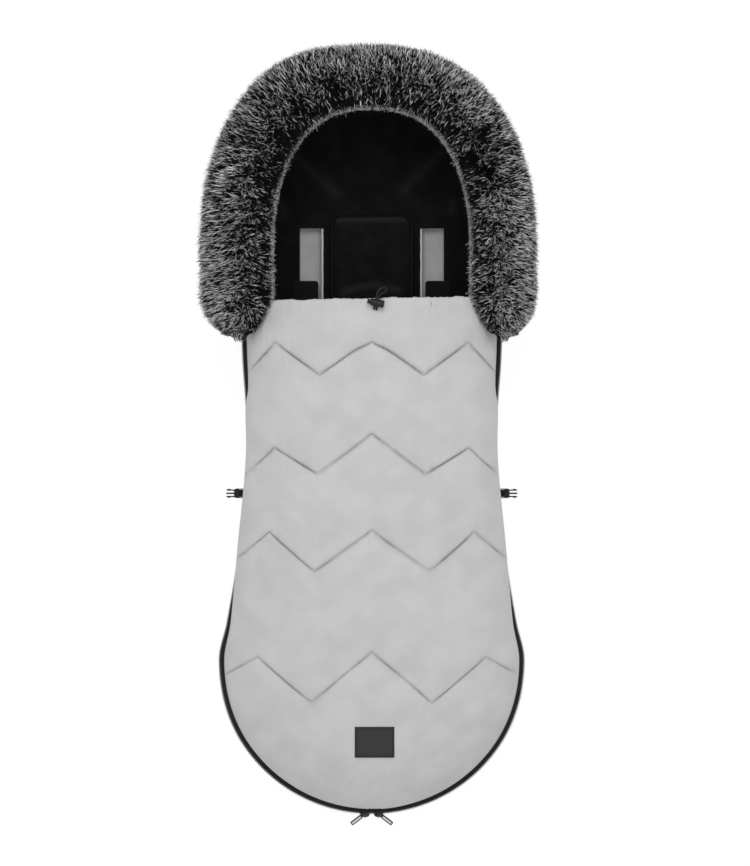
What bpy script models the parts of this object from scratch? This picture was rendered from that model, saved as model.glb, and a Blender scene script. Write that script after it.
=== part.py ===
"""Winter footmuff for a pushchair, lying on its back.

+Y points to the hood, -Y to the toes and +Z up through the quilted cover.
The origin lies on the flat rear face. Lengths are in metres.
"""

import math

import bmesh
import bpy
from mathutils import Matrix, Vector

# Clearances
TOUCH = 0.0003  # between faces that meet
RUN = 0.0004  # round pieces that move

# Plan of the body at the zip line: a round foot, sides through four stations, and an arched head
FOOT_CENTRE_Y = -0.293
FOOT_RADIUS = 0.199
SHIN_Y, SHIN_HALF_WIDTH = -0.245, 0.1888
KNEE_Y, KNEE_HALF_WIDTH = -0.150, 0.1735
WAIST_Y, WAIST_HALF_WIDTH = -0.015, 0.162
CHEST_Y, CHEST_HALF_WIDTH = 0.110, 0.169
NECK_Y, NECK_HALF_WIDTH = 0.235, 0.171
HEAD_ARCH_RISE = 0.228
HEAD_ARCH_POWER = 2.3
FOOT_STEPS, SIDE_STEPS, HEAD_STEPS = 11, 8, 9
ZIP_FOOT_STEPS = 2 * FOOT_STEPS

# Layers of the back, from the outside in
FABRIC = 0.002
WADDING = 0.008
LINING = 0.0025
BACK_CORNER = 0.024
CORNER_STEPS = 3
WALL_INSET = 0.0006
WALL_TOP_Z = 0.056

# Zip: a vertical tape with half of the teeth on each side
TAPE_INSET = 0.0012
TAPE_THICKNESS = 0.0008
TEETH_DEPTH = 0.003
TEETH_HEIGHT = 0.003
TEETH_GAP = 0.0014
TAPE_REACH = 0.0035
TAPE_UNDER_COVER = 0.004
ZIP_TOP_Y = 0.1395

# Quilted cover
COVER_THICKNESS = 0.012
COVER_LINING = 0.0025
COVER_CROWN = 0.060
CROWN_ROUND = 2.4
CROWN_FALL = 1.8
PUFF = 0.007
PUFF_ROUND = 0.6
FOOT_INSET = 0.0065
KNEE_INSET = -0.002
CHEST_INSET = 0.0045
FOLD_Y = -0.088
HEM_Y = 0.177
HEM_CORNER_Y = 0.132
HEM_FLAT = 0.72
LINING_GAP = 0.0006

# Zigzag seams: y at the middle, at the valley, at the peak and at the edge
CHEST_MIDDLE, CHEST_VALLEY, CHEST_PEAK, CHEST_EDGE = 0.124, 0.077, 0.119, 0.082
THIGH_MIDDLE, THIGH_VALLEY, THIGH_PEAK, THIGH_EDGE = 0.001, -0.051, -0.017, -0.052
CALF_MIDDLE, CALF_VALLEY, CALF_PEAK, CALF_EDGE = -0.124, -0.177, -0.126, -0.161
ANKLE_MIDDLE, ANKLE_VALLEY, ANKLE_PEAK, ANKLE_EDGE = -0.281, -0.347, -0.288, -0.312
SEAMS = (
    (CHEST_MIDDLE, CHEST_VALLEY, CHEST_PEAK, CHEST_EDGE),
    (THIGH_MIDDLE, THIGH_VALLEY, THIGH_PEAK, THIGH_EDGE),
    (CALF_MIDDLE, CALF_VALLEY, CALF_PEAK, CALF_EDGE),
    (ANKLE_MIDDLE, ANKLE_VALLEY, ANKLE_PEAK, ANKLE_EDGE),
)
VALLEY, PEAK = 0.42, 0.77
COLUMNS = (0.0, 0.14, 0.28, VALLEY, 0.54, 0.655, PEAK, 0.86, 0.94, 1.0)
CELL_STEPS = (0.0, 0.08, 0.25, 0.5, 0.75, 0.92, 1.0)
HEM_STEPS = (0.15, 0.4, 0.7, 1.0)
HEM_PUFF_END = 0.85
TOE_ANGLES = (17, 30, 42, 53, 63, 72, 80, 86)

# Casing and drawcord along the hem
CASING_WIDTH = 0.018
CASING_THICKNESS = 0.007
CASING_WALL = 0.0014
CASING_RISE = 0.0015
CASING_REACH = 0.94
CORD_DIAMETER = 0.0028
EYELET_WIDTH = 0.008
EYELET_DEPTH = 0.0044
EYELET_Y = 0.1622

# Cord lock, its button and spring, placed from the eyelet along the loop's strands
LOCK_TURN_DEG = -12
LOCK_ALONG = 0.0083
LOCK_LEFT, LOCK_RIGHT = -0.0075, 0.0100
LOCK_RADIUS = 0.0047
LOCK_END_WALL = 0.0013
PLUNGER_RADIUS = 0.0030
BUTTON_LENGTH = 0.0042
BUTTON_TRAVEL = 0.002
EYELET_X = 0.0045
CORD_SPACING = 0.0032
CORD_SLOT_SPARE = 0.0007
SPRING_LENGTH = 0.0030
SPRING_TURNS = 3
SPRING_WIRE = 0.0005
LOCK_TRAVEL = 0.004
LOCK_ROUND = 0.0012

# Drawcord's loop above the cord lock
LOOP_LEAN_DEG = 60
LOOP_REACH = 0.0115
LOOP_HALF_WIDTH = 0.0033
LOOP_SAG = 0.002
LOOP_STEPS = 5
CORD_BEND = 0.005

# Label on the foot
LABEL_X, LABEL_Y = 0.004, -0.399
LABEL_WIDTH, LABEL_HEIGHT = 0.051, 0.040
LABEL_THICKNESS = 0.001

# Hood wall and its fur rim
HOOD_START_Y = 0.141
RIM_LOW_Z = 0.0705
RIM_HIGH_Z = 0.112
HOOD_BULGE = 0.007
HOOD_LINING = 0.009
HOOD_LEVELS = (0.0, 0.3, 0.65, 1.0)
HOOD_FOLD_DEG = 35
FUR_HALF_WIDTH = 0.044
FUR_HEIGHT = 0.062
FUR_SIDES = 12
FUR_END_FADE = 0.070
RIM_TAPE_INNER, RIM_TAPE_OUTER = 0.047, -0.012
RIM_TAPE = 0.0015

# Harness slots, the flaps behind them, the tabs over them and the pad between them
SLOT_INNER_X, SLOT_OUTER_X = 0.0625, 0.0965
SLOT_LOW_Y, SLOT_HIGH_Y = 0.150, 0.274
FLAP_THICKNESS = 0.0015
FLAP_CORNER = 0.002
TAB_INNER_X, TAB_OUTER_X = 0.0705, 0.1045
TAB_LOW_Y, TAB_HIGH_Y = 0.173, 0.203
TAB_THICKNESS = 0.0016
TAB_CORNER = 0.004
PAD_HALF_WIDTH = 0.053
PAD_LOW_Y, PAD_HIGH_Y = -0.060, 0.288
PAD_THICKNESS = 0.010
PAD_EDGE_CREASE = 0.55

# Zip sliders and pulls
SLIDER_LENGTH = 0.010
SLIDER_PLATE = 0.0014
SLIDER_LIP = 0.0020
SLIDER_ANGLE_DEG = 2.6
SLIDER_POST = 0.0008
SLIDER_ROUND = 0.0006
POST_SHARE = 0.35
BRIDGE_SHARE, UNDER_BRIDGE_SHARE = 0.84, 0.56
BRIDGE_WIDTH = 0.0024
BRIDGE_THICKNESS = 0.0012
PULL_BAR = 0.0014
PULL_LENGTH = 0.0215
PULL_WIDTH = 0.0060
PULL_THICKNESS = 0.0020
PULL_REST_DEG = 40
PULL_EYE_SPARE = 0.0008
PULL_HOLE_RADIUS, PULL_HOLE_INSET = 0.0012, 0.003
METAL_ROUND = 0.0005

# Side buckles and their straps
BUCKLE_Y = -0.077
STRAP_Z = 0.0035
WEBBING_WIDTH = 0.0098
WEBBING = 0.0012
STRAP_LENGTH = 0.0095
BUCKLE_BAR = 0.0022
BUCKLE_THICKNESS = 0.0044
BUCKLE_WIDTH = 0.0126
BUCKLE_BASE_LENGTH = 0.0155
BUCKLE_RAIL = 0.0011
PRONG_LENGTH = 0.0106
PRONG_WIDTH = 0.0017
PRONG_BARB = 0.0011
PRONG_STEP = 0.0012
GUIDE_SHARE = 0.6
BUCKLE_ROUND = 0.0003

# Heights that follow from the sizes above
FLOOR_Z = FABRIC + WADDING + LINING + 2 * TOUCH
TEETH_LOW_Z = WALL_TOP_Z + TOUCH + TAPE_REACH
TEETH_MIDDLE_Z = TEETH_LOW_Z + TEETH_HEIGHT + TEETH_GAP / 2
TEETH_HIGH_Z = TEETH_LOW_Z + 2 * TEETH_HEIGHT + TEETH_GAP
COVER_BASE_Z = TEETH_HIGH_Z + TAPE_REACH + TAPE_THICKNESS + TOUCH
FOLD_AXIS_Z = COVER_BASE_Z + COVER_CROWN + PUFF


def clear_scene():
    for obj in list(bpy.data.objects):
        bpy.data.objects.remove(obj, do_unlink=True)


def new_collection(name):
    collection = bpy.data.collections.new(name)
    bpy.context.scene.collection.children.link(collection)
    return collection


def new_material(name, colour, roughness, metallic=0.0):
    material = bpy.data.materials.new(name)
    material.use_nodes = True
    shader = material.node_tree.nodes["Principled BSDF"]
    shader.inputs["Base Color"].default_value = (*colour, 1.0)
    shader.inputs["Roughness"].default_value = roughness
    shader.inputs["Metallic"].default_value = metallic
    return material


clear_scene()
parts = new_collection("winter_footmuff")
cutters = new_collection("cutters")

pale_fabric = new_material("pale_fabric", (0.52, 0.52, 0.52), 0.8)
back_fabric = new_material("back_fabric", (0.30, 0.30, 0.30), 0.85)
black_fleece = new_material("black_fleece", (0.010, 0.010, 0.011), 0.95)
white_wadding = new_material("white_wadding", (0.80, 0.80, 0.78), 0.95)
fur = new_material("fur", (0.06, 0.06, 0.06), 0.9)
black_tape = new_material("black_tape", (0.02, 0.02, 0.02), 0.8)
black_plastic = new_material("black_plastic", (0.015, 0.015, 0.015), 0.4)
dark_metal = new_material("dark_metal", (0.08, 0.08, 0.08), 0.35, 1.0)
spring_steel = new_material("spring_steel", (0.55, 0.55, 0.55), 0.3, 1.0)
cord_black = new_material("cord_black", (0.02, 0.02, 0.02), 0.8)
label_grey = new_material("label_grey", (0.07, 0.07, 0.07), 0.7)


def add_object(name, mesh, material, collection=None):
    obj = bpy.data.objects.new(name, mesh)
    (collection or parts).objects.link(obj)
    if material:
        mesh.materials.append(material)
    return obj


def finish_mesh(name, bm, material, smooth_deg=40):
    bmesh.ops.recalc_face_normals(bm, faces=bm.faces)
    mesh = bpy.data.meshes.new(name)
    bm.to_mesh(mesh)
    bm.free()
    mesh.shade_smooth()
    mesh.set_sharp_from_angle(angle=math.radians(smooth_deg))
    return add_object(name, mesh, material)


def loft(name, rings, material):
    """A closed solid through closed rings of equally many points, capped at its first and last ring."""
    bm = bmesh.new()
    loops = [[bm.verts.new(point) for point in ring] for ring in rings]
    for low, high in zip(loops, loops[1:]):
        for i in range(len(low)):
            j = (i + 1) % len(low)
            bm.faces.new((low[i], low[j], high[j], high[i]))
    bm.faces.new(loops[0])
    bm.faces.new(loops[-1])
    return finish_mesh(name, bm, material)


def slab(name, front, back, material):
    """A closed sheet between two grids of equal size, joined along their borders."""
    bm = bmesh.new()
    grids = [[[bm.verts.new(point) for point in row] for row in grid] for grid in (front, back)]
    rows, columns = len(front), len(front[0])
    for grid in grids:
        for i in range(rows - 1):
            for j in range(columns - 1):
                bm.faces.new((grid[i][j], grid[i][j + 1], grid[i + 1][j + 1], grid[i + 1][j]))
    border = [(0, j) for j in range(columns)] + [(i, columns - 1) for i in range(1, rows)]
    border += [(rows - 1, j) for j in range(columns - 2, -1, -1)] + [(i, 0) for i in range(rows - 2, 0, -1)]
    for (i, j), (k, m) in zip(border, border[1:] + border[:1]):
        bm.faces.new((grids[0][i][j], grids[0][k][m], grids[1][k][m], grids[1][i][j]))
    return finish_mesh(name, bm, material)


def box(name, low, high, material=None, collection=None, bevel=0.0):
    """A box between two corners, with its edges rounded when bevel is set."""
    bm = bmesh.new()
    bmesh.ops.create_cube(bm, size=1.0)
    low, high = Vector(low), Vector(high)
    for vert in bm.verts:
        vert.co = Vector((low[i] if vert.co[i] < 0 else high[i]) for i in range(3))
    mesh = bpy.data.meshes.new(name)
    bm.to_mesh(mesh)
    bm.free()
    obj = add_object(name, mesh, material, collection)
    if bevel:
        modifier = obj.modifiers.new("rounded edges", "BEVEL")
        modifier.width = bevel
        modifier.segments = 2
    return obj


def cylinder(name, start, end, radius, material=None, collection=None, sides=20, end_radius=None):
    """A cylinder or cone between two points."""
    start, end = Vector(start), Vector(end)
    bm = bmesh.new()
    bmesh.ops.create_cone(
        bm,
        cap_ends=True,
        segments=sides,
        radius1=radius,
        radius2=radius if end_radius is None else end_radius,
        depth=(end - start).length,
    )
    turn = (end - start).to_track_quat("Z", "Y").to_matrix().to_4x4()
    bmesh.ops.transform(bm, matrix=Matrix.Translation((start + end) / 2) @ turn, verts=bm.verts)
    mesh = bpy.data.meshes.new(name)
    bm.to_mesh(mesh)
    bm.free()
    return add_object(name, mesh, material, collection)


def flat_outline(name, outlines, thickness, material, matrix, bevel=0.0):
    """A plate of the given outlines, where an inner one is a hole, as a mesh placed by matrix."""
    curve = bpy.data.curves.new(name, "CURVE")
    curve.dimensions = "2D"
    curve.fill_mode = "BOTH"
    curve.extrude = thickness / 2
    for outline in outlines:
        spline = curve.splines.new("POLY")
        spline.points.add(len(outline) - 1)
        for point, (x, y) in zip(spline.points, outline):
            point.co = (x, y, 0.0, 1.0)
        spline.use_cyclic_u = True
    obj = mesh_of_curve(name, curve, material, matrix)
    if bevel:
        modifier = obj.modifiers.new("rounded edges", "BEVEL")
        modifier.width = bevel
        modifier.segments = 2
        modifier.limit_method = "ANGLE"
    return obj


def mesh_of_curve(name, curve, material, matrix=Matrix.Identity(4)):
    """The curve's evaluated mesh with its caps welded, as a new object."""
    source = bpy.data.objects.new(name + "_curve", curve)
    parts.objects.link(source)
    source.matrix_world = matrix
    bpy.context.view_layer.update()
    graph = bpy.context.evaluated_depsgraph_get()
    mesh = bpy.data.meshes.new_from_object(source.evaluated_get(graph))
    bm = bmesh.new()
    bm.from_mesh(mesh)
    bmesh.ops.remove_doubles(bm, verts=bm.verts, dist=1e-6)
    bmesh.ops.recalc_face_normals(bm, faces=bm.faces)
    bm.to_mesh(mesh)
    bm.free()
    mesh.materials.clear()
    obj = add_object(name, mesh, material)
    obj.matrix_world = source.matrix_world.copy()
    bpy.data.objects.remove(source, do_unlink=True)
    bpy.data.curves.remove(curve)
    return obj


def round_cord(name, points, diameter, material, resolution=2):
    """A cord or wire with filled ends along the points."""
    curve = bpy.data.curves.new(name, "CURVE")
    curve.dimensions = "3D"
    curve.bevel_depth = diameter / 2
    curve.bevel_resolution = resolution
    curve.use_fill_caps = True
    spline = curve.splines.new("POLY")
    spline.points.add(len(points) - 1)
    for point, place in zip(spline.points, points):
        point.co = (*place, 1.0)
    obj = bpy.data.objects.new(name, curve)
    parts.objects.link(obj)
    curve.materials.append(material)
    return obj


def use_as_tool(target, tool, operation):
    """Cuts the tool from the target, or joins it to the target."""
    for collection in tool.users_collection:
        collection.objects.unlink(tool)
    cutters.objects.link(tool)
    tool.hide_render = True
    tool.display_type = "WIRE"
    modifier = target.modifiers.new(tool.name, "BOOLEAN")
    modifier.operation = operation
    modifier.object = tool
    modifier.solver = "EXACT"


def cut(target, *tools):
    for tool in tools:
        use_as_tool(target, tool, "DIFFERENCE")


def join(target, *tools):
    for tool in tools:
        use_as_tool(target, tool, "UNION")


def axis_empty(name, place, *objects):
    """An empty on a joint's axis that carries the pieces of the moving body."""
    empty = bpy.data.objects.new(name, None)
    parts.objects.link(empty)
    empty.location = place
    empty.empty_display_size = 0.01
    bpy.context.view_layer.update()
    for obj in objects:
        obj.parent = empty
        obj.matrix_parent_inverse = empty.matrix_world.inverted()
    return empty


def smooth_through(stations, y):
    """The value at y of a smooth curve through (y, value) stations, level at the first one."""
    last = len(stations) - 1
    slopes = [0.0]
    for i in range(1, last):
        (y0, v0), (y1, v1) = stations[i - 1], stations[i + 1]
        slopes.append((v1 - v0) / (y1 - y0))
    slopes.append(0.0)
    i = 0
    while i < last - 1 and y > stations[i + 1][0]:
        i += 1
    (y0, v0), (y1, v1) = stations[i], stations[i + 1]
    span = y1 - y0
    t = min(max((y - y0) / span, 0.0), 1.0)
    rise = v0 * (2 * t**3 - 3 * t**2 + 1) + v1 * (3 * t**2 - 2 * t**3)
    return rise + span * (slopes[i] * (t**3 - 2 * t**2 + t) + slopes[i + 1] * (t**3 - t**2))


def side_half_width(y):
    """Half width of the body at the zip line, from the foot's centre to the neck."""
    return smooth_through(
        (
            (FOOT_CENTRE_Y, FOOT_RADIUS),
            (SHIN_Y, SHIN_HALF_WIDTH),
            (KNEE_Y, KNEE_HALF_WIDTH),
            (WAIST_Y, WAIST_HALF_WIDTH),
            (CHEST_Y, CHEST_HALF_WIDTH),
            (NECK_Y, NECK_HALF_WIDTH),
        ),
        y,
    )


def cover_inset(y):
    """How far inside the zip line the cover's edge lies."""
    return smooth_through(
        (
            (FOOT_CENTRE_Y, FOOT_INSET),
            (KNEE_Y, KNEE_INSET),
            (WAIST_Y, KNEE_INSET),
            (CHEST_Y, CHEST_INSET),
            (NECK_Y, CHEST_INSET),
        ),
        y,
    )


def foot_arc(steps):
    """Points of the zip line from the toe to the foot's widest place, on the +X side."""
    angles = [-math.pi / 2 + math.pi / 2 * i / steps for i in range(steps + 1)]
    return [
        Vector((FOOT_RADIUS * math.cos(a), FOOT_CENTRE_Y + FOOT_RADIUS * math.sin(a))) for a in angles
    ]


def side_line(low_y, high_y, steps):
    ys = [low_y + (high_y - low_y) * i / steps for i in range(steps + 1)]
    return [Vector((side_half_width(y), y)) for y in ys]


def head_arch():
    """Points of the zip line's height from the neck to the crown of the head, on the +X side."""
    power = 2 / HEAD_ARCH_POWER
    angles = [math.pi / 2 * i / HEAD_STEPS for i in range(HEAD_STEPS + 1)]
    return [
        Vector(
            (
                NECK_HALF_WIDTH * max(math.cos(a), 0.0) ** power,
                NECK_Y + HEAD_ARCH_RISE * math.sin(a) ** power,
            )
        )
        for a in angles
    ]


def outward(points, closed):
    """The unit outward normal at each point of a plan line that runs anticlockwise."""
    normals = []
    count = len(points)
    for i in range(count):
        before = points[i - 1] if closed or i else points[0]
        after = points[(i + 1) % count] if closed or i < count - 1 else points[-1]
        along = (after - before).normalized()
        normals.append(Vector((along.y, -along.x)))
    return normals


def mirrored(half):
    """The whole line, anticlockwise, of a half on the +X side that runs from -Y to +Y."""
    left = [Vector((-p.x, p.y)) for p in reversed(half) if p.x > 1e-9]
    return half, left


def body_outline():
    half = foot_arc(FOOT_STEPS) + side_line(FOOT_CENTRE_Y, NECK_Y, SIDE_STEPS)[1:] + head_arch()[1:]
    half[0].x = half[-1].x = 0.0
    right, left = mirrored(half)
    return right + left


def inset_ring(points, normals, inset, z):
    return [Vector((*(p - n * inset), z)) for p, n in zip(points, normals)]


def tray(name, outer_depth, thickness, top_z, material):
    """One layer of the back: a floor with rounded edges and a wall, outer_depth inside the outer face."""
    points = body_outline()
    normals = outward(points, closed=True)
    centre = WALL_INSET + BACK_CORNER
    rings = []
    for radius, order in ((BACK_CORNER - outer_depth, 1), (BACK_CORNER - outer_depth - thickness, -1)):
        side = [
            inset_ring(points, normals, centre - radius * math.sin(a), BACK_CORNER - radius * math.cos(a))
            for a in [math.pi / 2 * i / CORNER_STEPS for i in range(CORNER_STEPS + 1)]
        ]
        side.append(inset_ring(points, normals, centre - radius, top_z))
        rings += side[::order]
    return loft(name, rings, material)


def harness_cutter(name, side):
    low = min(side * SLOT_INNER_X, side * SLOT_OUTER_X)
    high = max(side * SLOT_INNER_X, side * SLOT_OUTER_X)
    return box(name, (low, SLOT_LOW_Y, -FLOOR_Z), (high, SLOT_HIGH_Y, 2 * FLOOR_Z))


def build_back():
    """Outer fabric, wadding and lining of the back, nested, with the harness slots through all three."""
    layers = (
        tray("back_outer", 0.0, FABRIC, WALL_TOP_Z, back_fabric),
        tray("back_wadding", FABRIC + TOUCH, WADDING, WALL_TOP_Z - FABRIC, white_wadding),
        tray("back_lining", FABRIC + WADDING + 2 * TOUCH, LINING, WALL_TOP_Z, black_fleece),
    )
    for layer in layers:
        for word, side in (("left", -1), ("right", 1)):
            cut(layer, harness_cutter(f"{layer.name}_slot_{word}", side))


def zip_side_path():
    """Zip line on the +X side, from the toe up to the zip's top, without the last stretch to the neck."""
    return foot_arc(ZIP_FOOT_STEPS) + side_line(FOOT_CENTRE_Y, ZIP_TOP_Y, SIDE_STEPS)[1:]


def teeth_section(inset_top, upper):
    """Section of a zip half as (inset, z): its teeth, and its tape to the wall or under the cover."""
    inner = TAPE_INSET + TAPE_THICKNESS
    if not upper:
        low, high = WALL_TOP_Z + TOUCH, TEETH_LOW_Z + TEETH_HEIGHT
        return [
            (TAPE_INSET, low),
            (TAPE_INSET, TEETH_LOW_Z),
            (0.0, TEETH_LOW_Z),
            (0.0, high),
            (TEETH_DEPTH, high),
            (TEETH_DEPTH, TEETH_LOW_Z),
            (inner, TEETH_LOW_Z),
            (inner, low),
        ]
    low = TEETH_HIGH_Z - TEETH_HEIGHT
    shelf = COVER_BASE_Z - TOUCH
    return [
        (TAPE_INSET, shelf),
        (TAPE_INSET, TEETH_HIGH_Z),
        (0.0, TEETH_HIGH_Z),
        (0.0, low),
        (TEETH_DEPTH, low),
        (TEETH_DEPTH, TEETH_HIGH_Z),
        (inner, TEETH_HIGH_Z),
        (inner, shelf - TAPE_THICKNESS),
        (inset_top, shelf - TAPE_THICKNESS),
        (inset_top, shelf),
    ]


def zip_strip(name, path, upper):
    normals = outward(path, closed=False)
    rings = []
    for point, normal in zip(path, normals):
        top = cover_inset(point.y) + TAPE_UNDER_COVER + TAPE_THICKNESS + TAPE_INSET
        section = teeth_section(top, upper)
        rings.append([Vector((*(point - normal * inset), z)) for inset, z in section])
    return loft(name, rings, black_tape)


def build_zips():
    right, left = mirrored(zip_side_path())
    zip_strip("zip_body", left + right, upper=False)

    lower_half = foot_arc(ZIP_FOOT_STEPS) + side_line(FOOT_CENTRE_Y, FOLD_Y - TOUCH / 2, SIDE_STEPS)[1:]
    right, left = mirrored(lower_half)
    zip_strip("zip_cover_lower", left + right, upper=True)

    top_y = HEM_CORNER_Y - CASING_WIDTH
    right, left = mirrored(side_line(FOLD_Y + TOUCH / 2, top_y, SIDE_STEPS))
    return [
        zip_strip("zip_cover_right", right, upper=True),
        zip_strip("zip_cover_left", left, upper=True),
    ]


def cover_half_width(y, depth):
    """Half width of the cover's surface, depth below its outer face, and the radius used in the foot."""
    radius = FOOT_RADIUS - FOOT_INSET - depth
    if y >= FOOT_CENTRE_Y:
        return side_half_width(y) - cover_inset(y) - depth, radius
    reach = FOOT_CENTRE_Y - y
    return math.sqrt(max(radius**2 - reach**2, 0.0)), radius


def cover_point(share, y, puffed, depth):
    """A point of the cover at a share of its half width, depth below the outer face."""
    outer_radius = FOOT_RADIUS - FOOT_INSET
    if y < FOOT_CENTRE_Y:
        y = FOOT_CENTRE_Y + (y - FOOT_CENTRE_Y) * (outer_radius - depth) / outer_radius
    half, radius = cover_half_width(y, depth)
    x = share * half
    from_middle = abs(share)
    if y < FOOT_CENTRE_Y:
        from_middle = min(math.hypot(x, y - FOOT_CENTRE_Y) / radius, 1.0)
    height = (1 - from_middle**CROWN_ROUND) ** (1 / CROWN_FALL)
    z = COVER_BASE_Z + (COVER_CROWN - depth) * height
    if depth == 0.0:
        z += PUFF * math.sin(math.pi * puffed) ** PUFF_ROUND * height
    return Vector((x, y, z))


def seam_line(middle, valley, peak, edge):
    """y of a zigzag seam at a share of the half width."""
    corners = ((0.0, middle), (VALLEY, valley), (PEAK, peak), (1.0, edge))

    def at(share):
        share = abs(share)
        for (s0, y0), (s1, y1) in zip(corners, corners[1:]):
            if share <= s1:
                return y0 + (y1 - y0) * (share - s0) / (s1 - s0)
        return edge

    return at


def straight_line(y):
    return lambda share: y


def hem_line(share):
    """y of the hem: straight across the middle, then slanting down to the zip tops."""
    slant = max(abs(share) - HEM_FLAT, 0.0) / (1 - HEM_FLAT)
    return HEM_Y + (HEM_CORNER_Y - HEM_Y) * slant


def shell_end_line(share):
    return hem_line(share) - CASING_WIDTH - TOUCH


def between(first, second, steps, puff_from, puff_to):
    """Rows of (line, puff) from one line to the next, puff being the place between two seams."""
    rows = []
    for s in steps:
        def line(share, s=s):
            return first(share) * (1 - s) + second(share) * s

        rows.append((line, puff_from + (puff_to - puff_from) * s))
    return rows


def half_cell(steps):
    """The steps of half a cell, stretched to run from 0 to 1."""
    half = [s for s in steps if s <= 0.5]
    return [s / half[-1] for s in half]


def cover_rows():
    """Rows of the upper stretch, from the fold to the hem, and of the lower one, to the toe."""
    first, second, third, fourth = (seam_line(*seam) for seam in SEAMS)
    above = straight_line(FOLD_Y + TOUCH / 2)
    below = straight_line(FOLD_Y - TOUCH / 2)
    toes = [FOOT_CENTRE_Y - (FOOT_RADIUS - FOOT_INSET) * math.sin(math.radians(a)) for a in TOE_ANGLES]
    rising = [1 - s for s in reversed(half_cell(CELL_STEPS))]

    upper = between(above, second, rising, 0.5, 1.0)
    upper += between(second, first, CELL_STEPS[1:], 0.0, 1.0)
    upper += between(first, shell_end_line, HEM_STEPS, 0.0, HEM_PUFF_END)

    lower = between(below, third, rising, 0.5, 1.0)
    lower += between(third, fourth, CELL_STEPS[1:], 0.0, 1.0)
    for i, toe in enumerate(toes):
        share = (i + 1) / len(toes)
        lower.append((straight_or_seam(fourth, toe, share), 0.5 * share**0.5 + 0.5 * share))
    return upper, lower


def straight_or_seam(seam, y, share):
    """A row of the foot: it keeps some of the zigzag near the seam and none near the toe."""
    middle = sum(seam(s) for s in (0.0, VALLEY, PEAK)) / 3
    keep = (1 - share) ** 2
    return lambda s: y + (seam(s) - middle) * keep * 0.5


def cover_grid(rows, depth):
    shares = [-s for s in reversed(COLUMNS[1:])] + list(COLUMNS)
    return [[cover_point(s, line(s), puffed, depth) for s in shares] for line, puffed in rows]


def cover_pad(name, rows, material, depth, thickness):
    return slab(name, cover_grid(rows, depth), cover_grid(rows, depth + thickness), material)


def build_cover():
    """The quilted cover and its lining, in an upper stretch that folds down and a lower one that stays."""
    upper, lower = cover_rows()
    lining_depth = COVER_THICKNESS + LINING_GAP
    folding = [
        cover_pad("cover_upper", upper, pale_fabric, 0.0, COVER_THICKNESS),
        cover_pad("cover_upper_lining", upper, black_fleece, lining_depth, COVER_LINING),
    ]
    fixed = cover_pad("cover_lower", lower, pale_fabric, 0.0, COVER_THICKNESS)
    cover_pad("cover_lower_lining", lower, black_fleece, lining_depth, COVER_LINING)
    return folding, fixed


def casing_middle(share):
    """Centre of the casing's section, and of the drawcord in it."""
    y = hem_line(share) - CASING_WIDTH / 2
    surface = cover_point(share, y, 0.0, 0.0)
    return Vector((surface.x, y, surface.z + CASING_RISE - CASING_THICKNESS / 2))


def oval(centre, half_y, half_z, sides=8):
    angles = [2 * math.pi * (i + 0.5) / sides for i in range(sides)]
    stretch = 1 / math.cos(math.pi / sides)
    half_y, half_z = half_y * stretch, half_z * stretch
    return [centre + Vector((0.0, half_y * math.cos(a), half_z * math.sin(a))) for a in angles]


def casing_shares():
    inside = [s for s in COLUMNS if s <= CASING_REACH]
    return [-s for s in reversed(inside[1:])] + inside


def build_casing():
    """The channel along the hem, open at both ends, with an eyelet in its middle."""
    shares = casing_shares()
    outer = [
        oval(casing_middle(s), CASING_WIDTH / 2, CASING_THICKNESS / 2) for s in shares
    ]
    inner = [
        oval(casing_middle(s), CASING_WIDTH / 2 - CASING_WALL, CASING_THICKNESS / 2 - CASING_WALL)
        for s in shares
    ]
    bm = bmesh.new()
    grids = [[[bm.verts.new(p) for p in ring] for ring in rings] for rings in (outer, inner)]
    for grid in grids:
        for low, high in zip(grid, grid[1:]):
            for i in range(len(low)):
                j = (i + 1) % len(low)
                bm.faces.new((low[i], low[j], high[j], high[i]))
    for end in (0, -1):
        ring, bore = grids[0][end], grids[1][end]
        for i in range(len(ring)):
            j = (i + 1) % len(ring)
            bm.faces.new((ring[i], ring[j], bore[j], bore[i]))
    casing = finish_mesh("hem_casing", bm, pale_fabric)
    middle = casing_middle(0.0)
    eyelet = box(
        "casing_eyelet",
        (EYELET_X - EYELET_WIDTH / 2, EYELET_Y - EYELET_DEPTH / 2, middle.z),
        (EYELET_X + EYELET_WIDTH / 2, EYELET_Y + EYELET_DEPTH / 2, middle.z + CASING_THICKNESS),
    )
    cut(casing, eyelet)
    drawcord = round_cord(
        "drawcord", [casing_middle(s) for s in casing_shares()], CORD_DIAMETER, cord_black
    )
    return [casing, drawcord]


def casing_top_z():
    return casing_middle(0.0).z + CASING_THICKNESS / 2


def lock_axis_z():
    return casing_top_z() + TOUCH + LOCK_RADIUS


def smoothed(points, steps):
    """A smooth line through the points, with steps stretches between each two."""
    line = []
    padded = [points[0]] + points + [points[-1]]
    for p0, p1, p2, p3 in zip(padded, padded[1:], padded[2:], padded[3:]):
        for i in range(steps):
            t = i / steps
            line.append(
                0.5
                * (
                    2 * p1
                    + (p2 - p0) * t
                    + (2 * p0 - 5 * p1 + 4 * p2 - p3) * t**2
                    + (3 * p1 - 3 * p2 + p3 - p0) * t**3
                )
            )
    return line + [points[-1]]


def lock_frame():
    """Placement of the cord lock: origin at the eyelet, +Y along the strands, +X to the lock's right."""
    turn = Matrix.Rotation(math.radians(LOCK_TURN_DEG), 4, "Z")
    return Matrix.Translation((EYELET_X, EYELET_Y, 0.0)) @ turn


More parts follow.
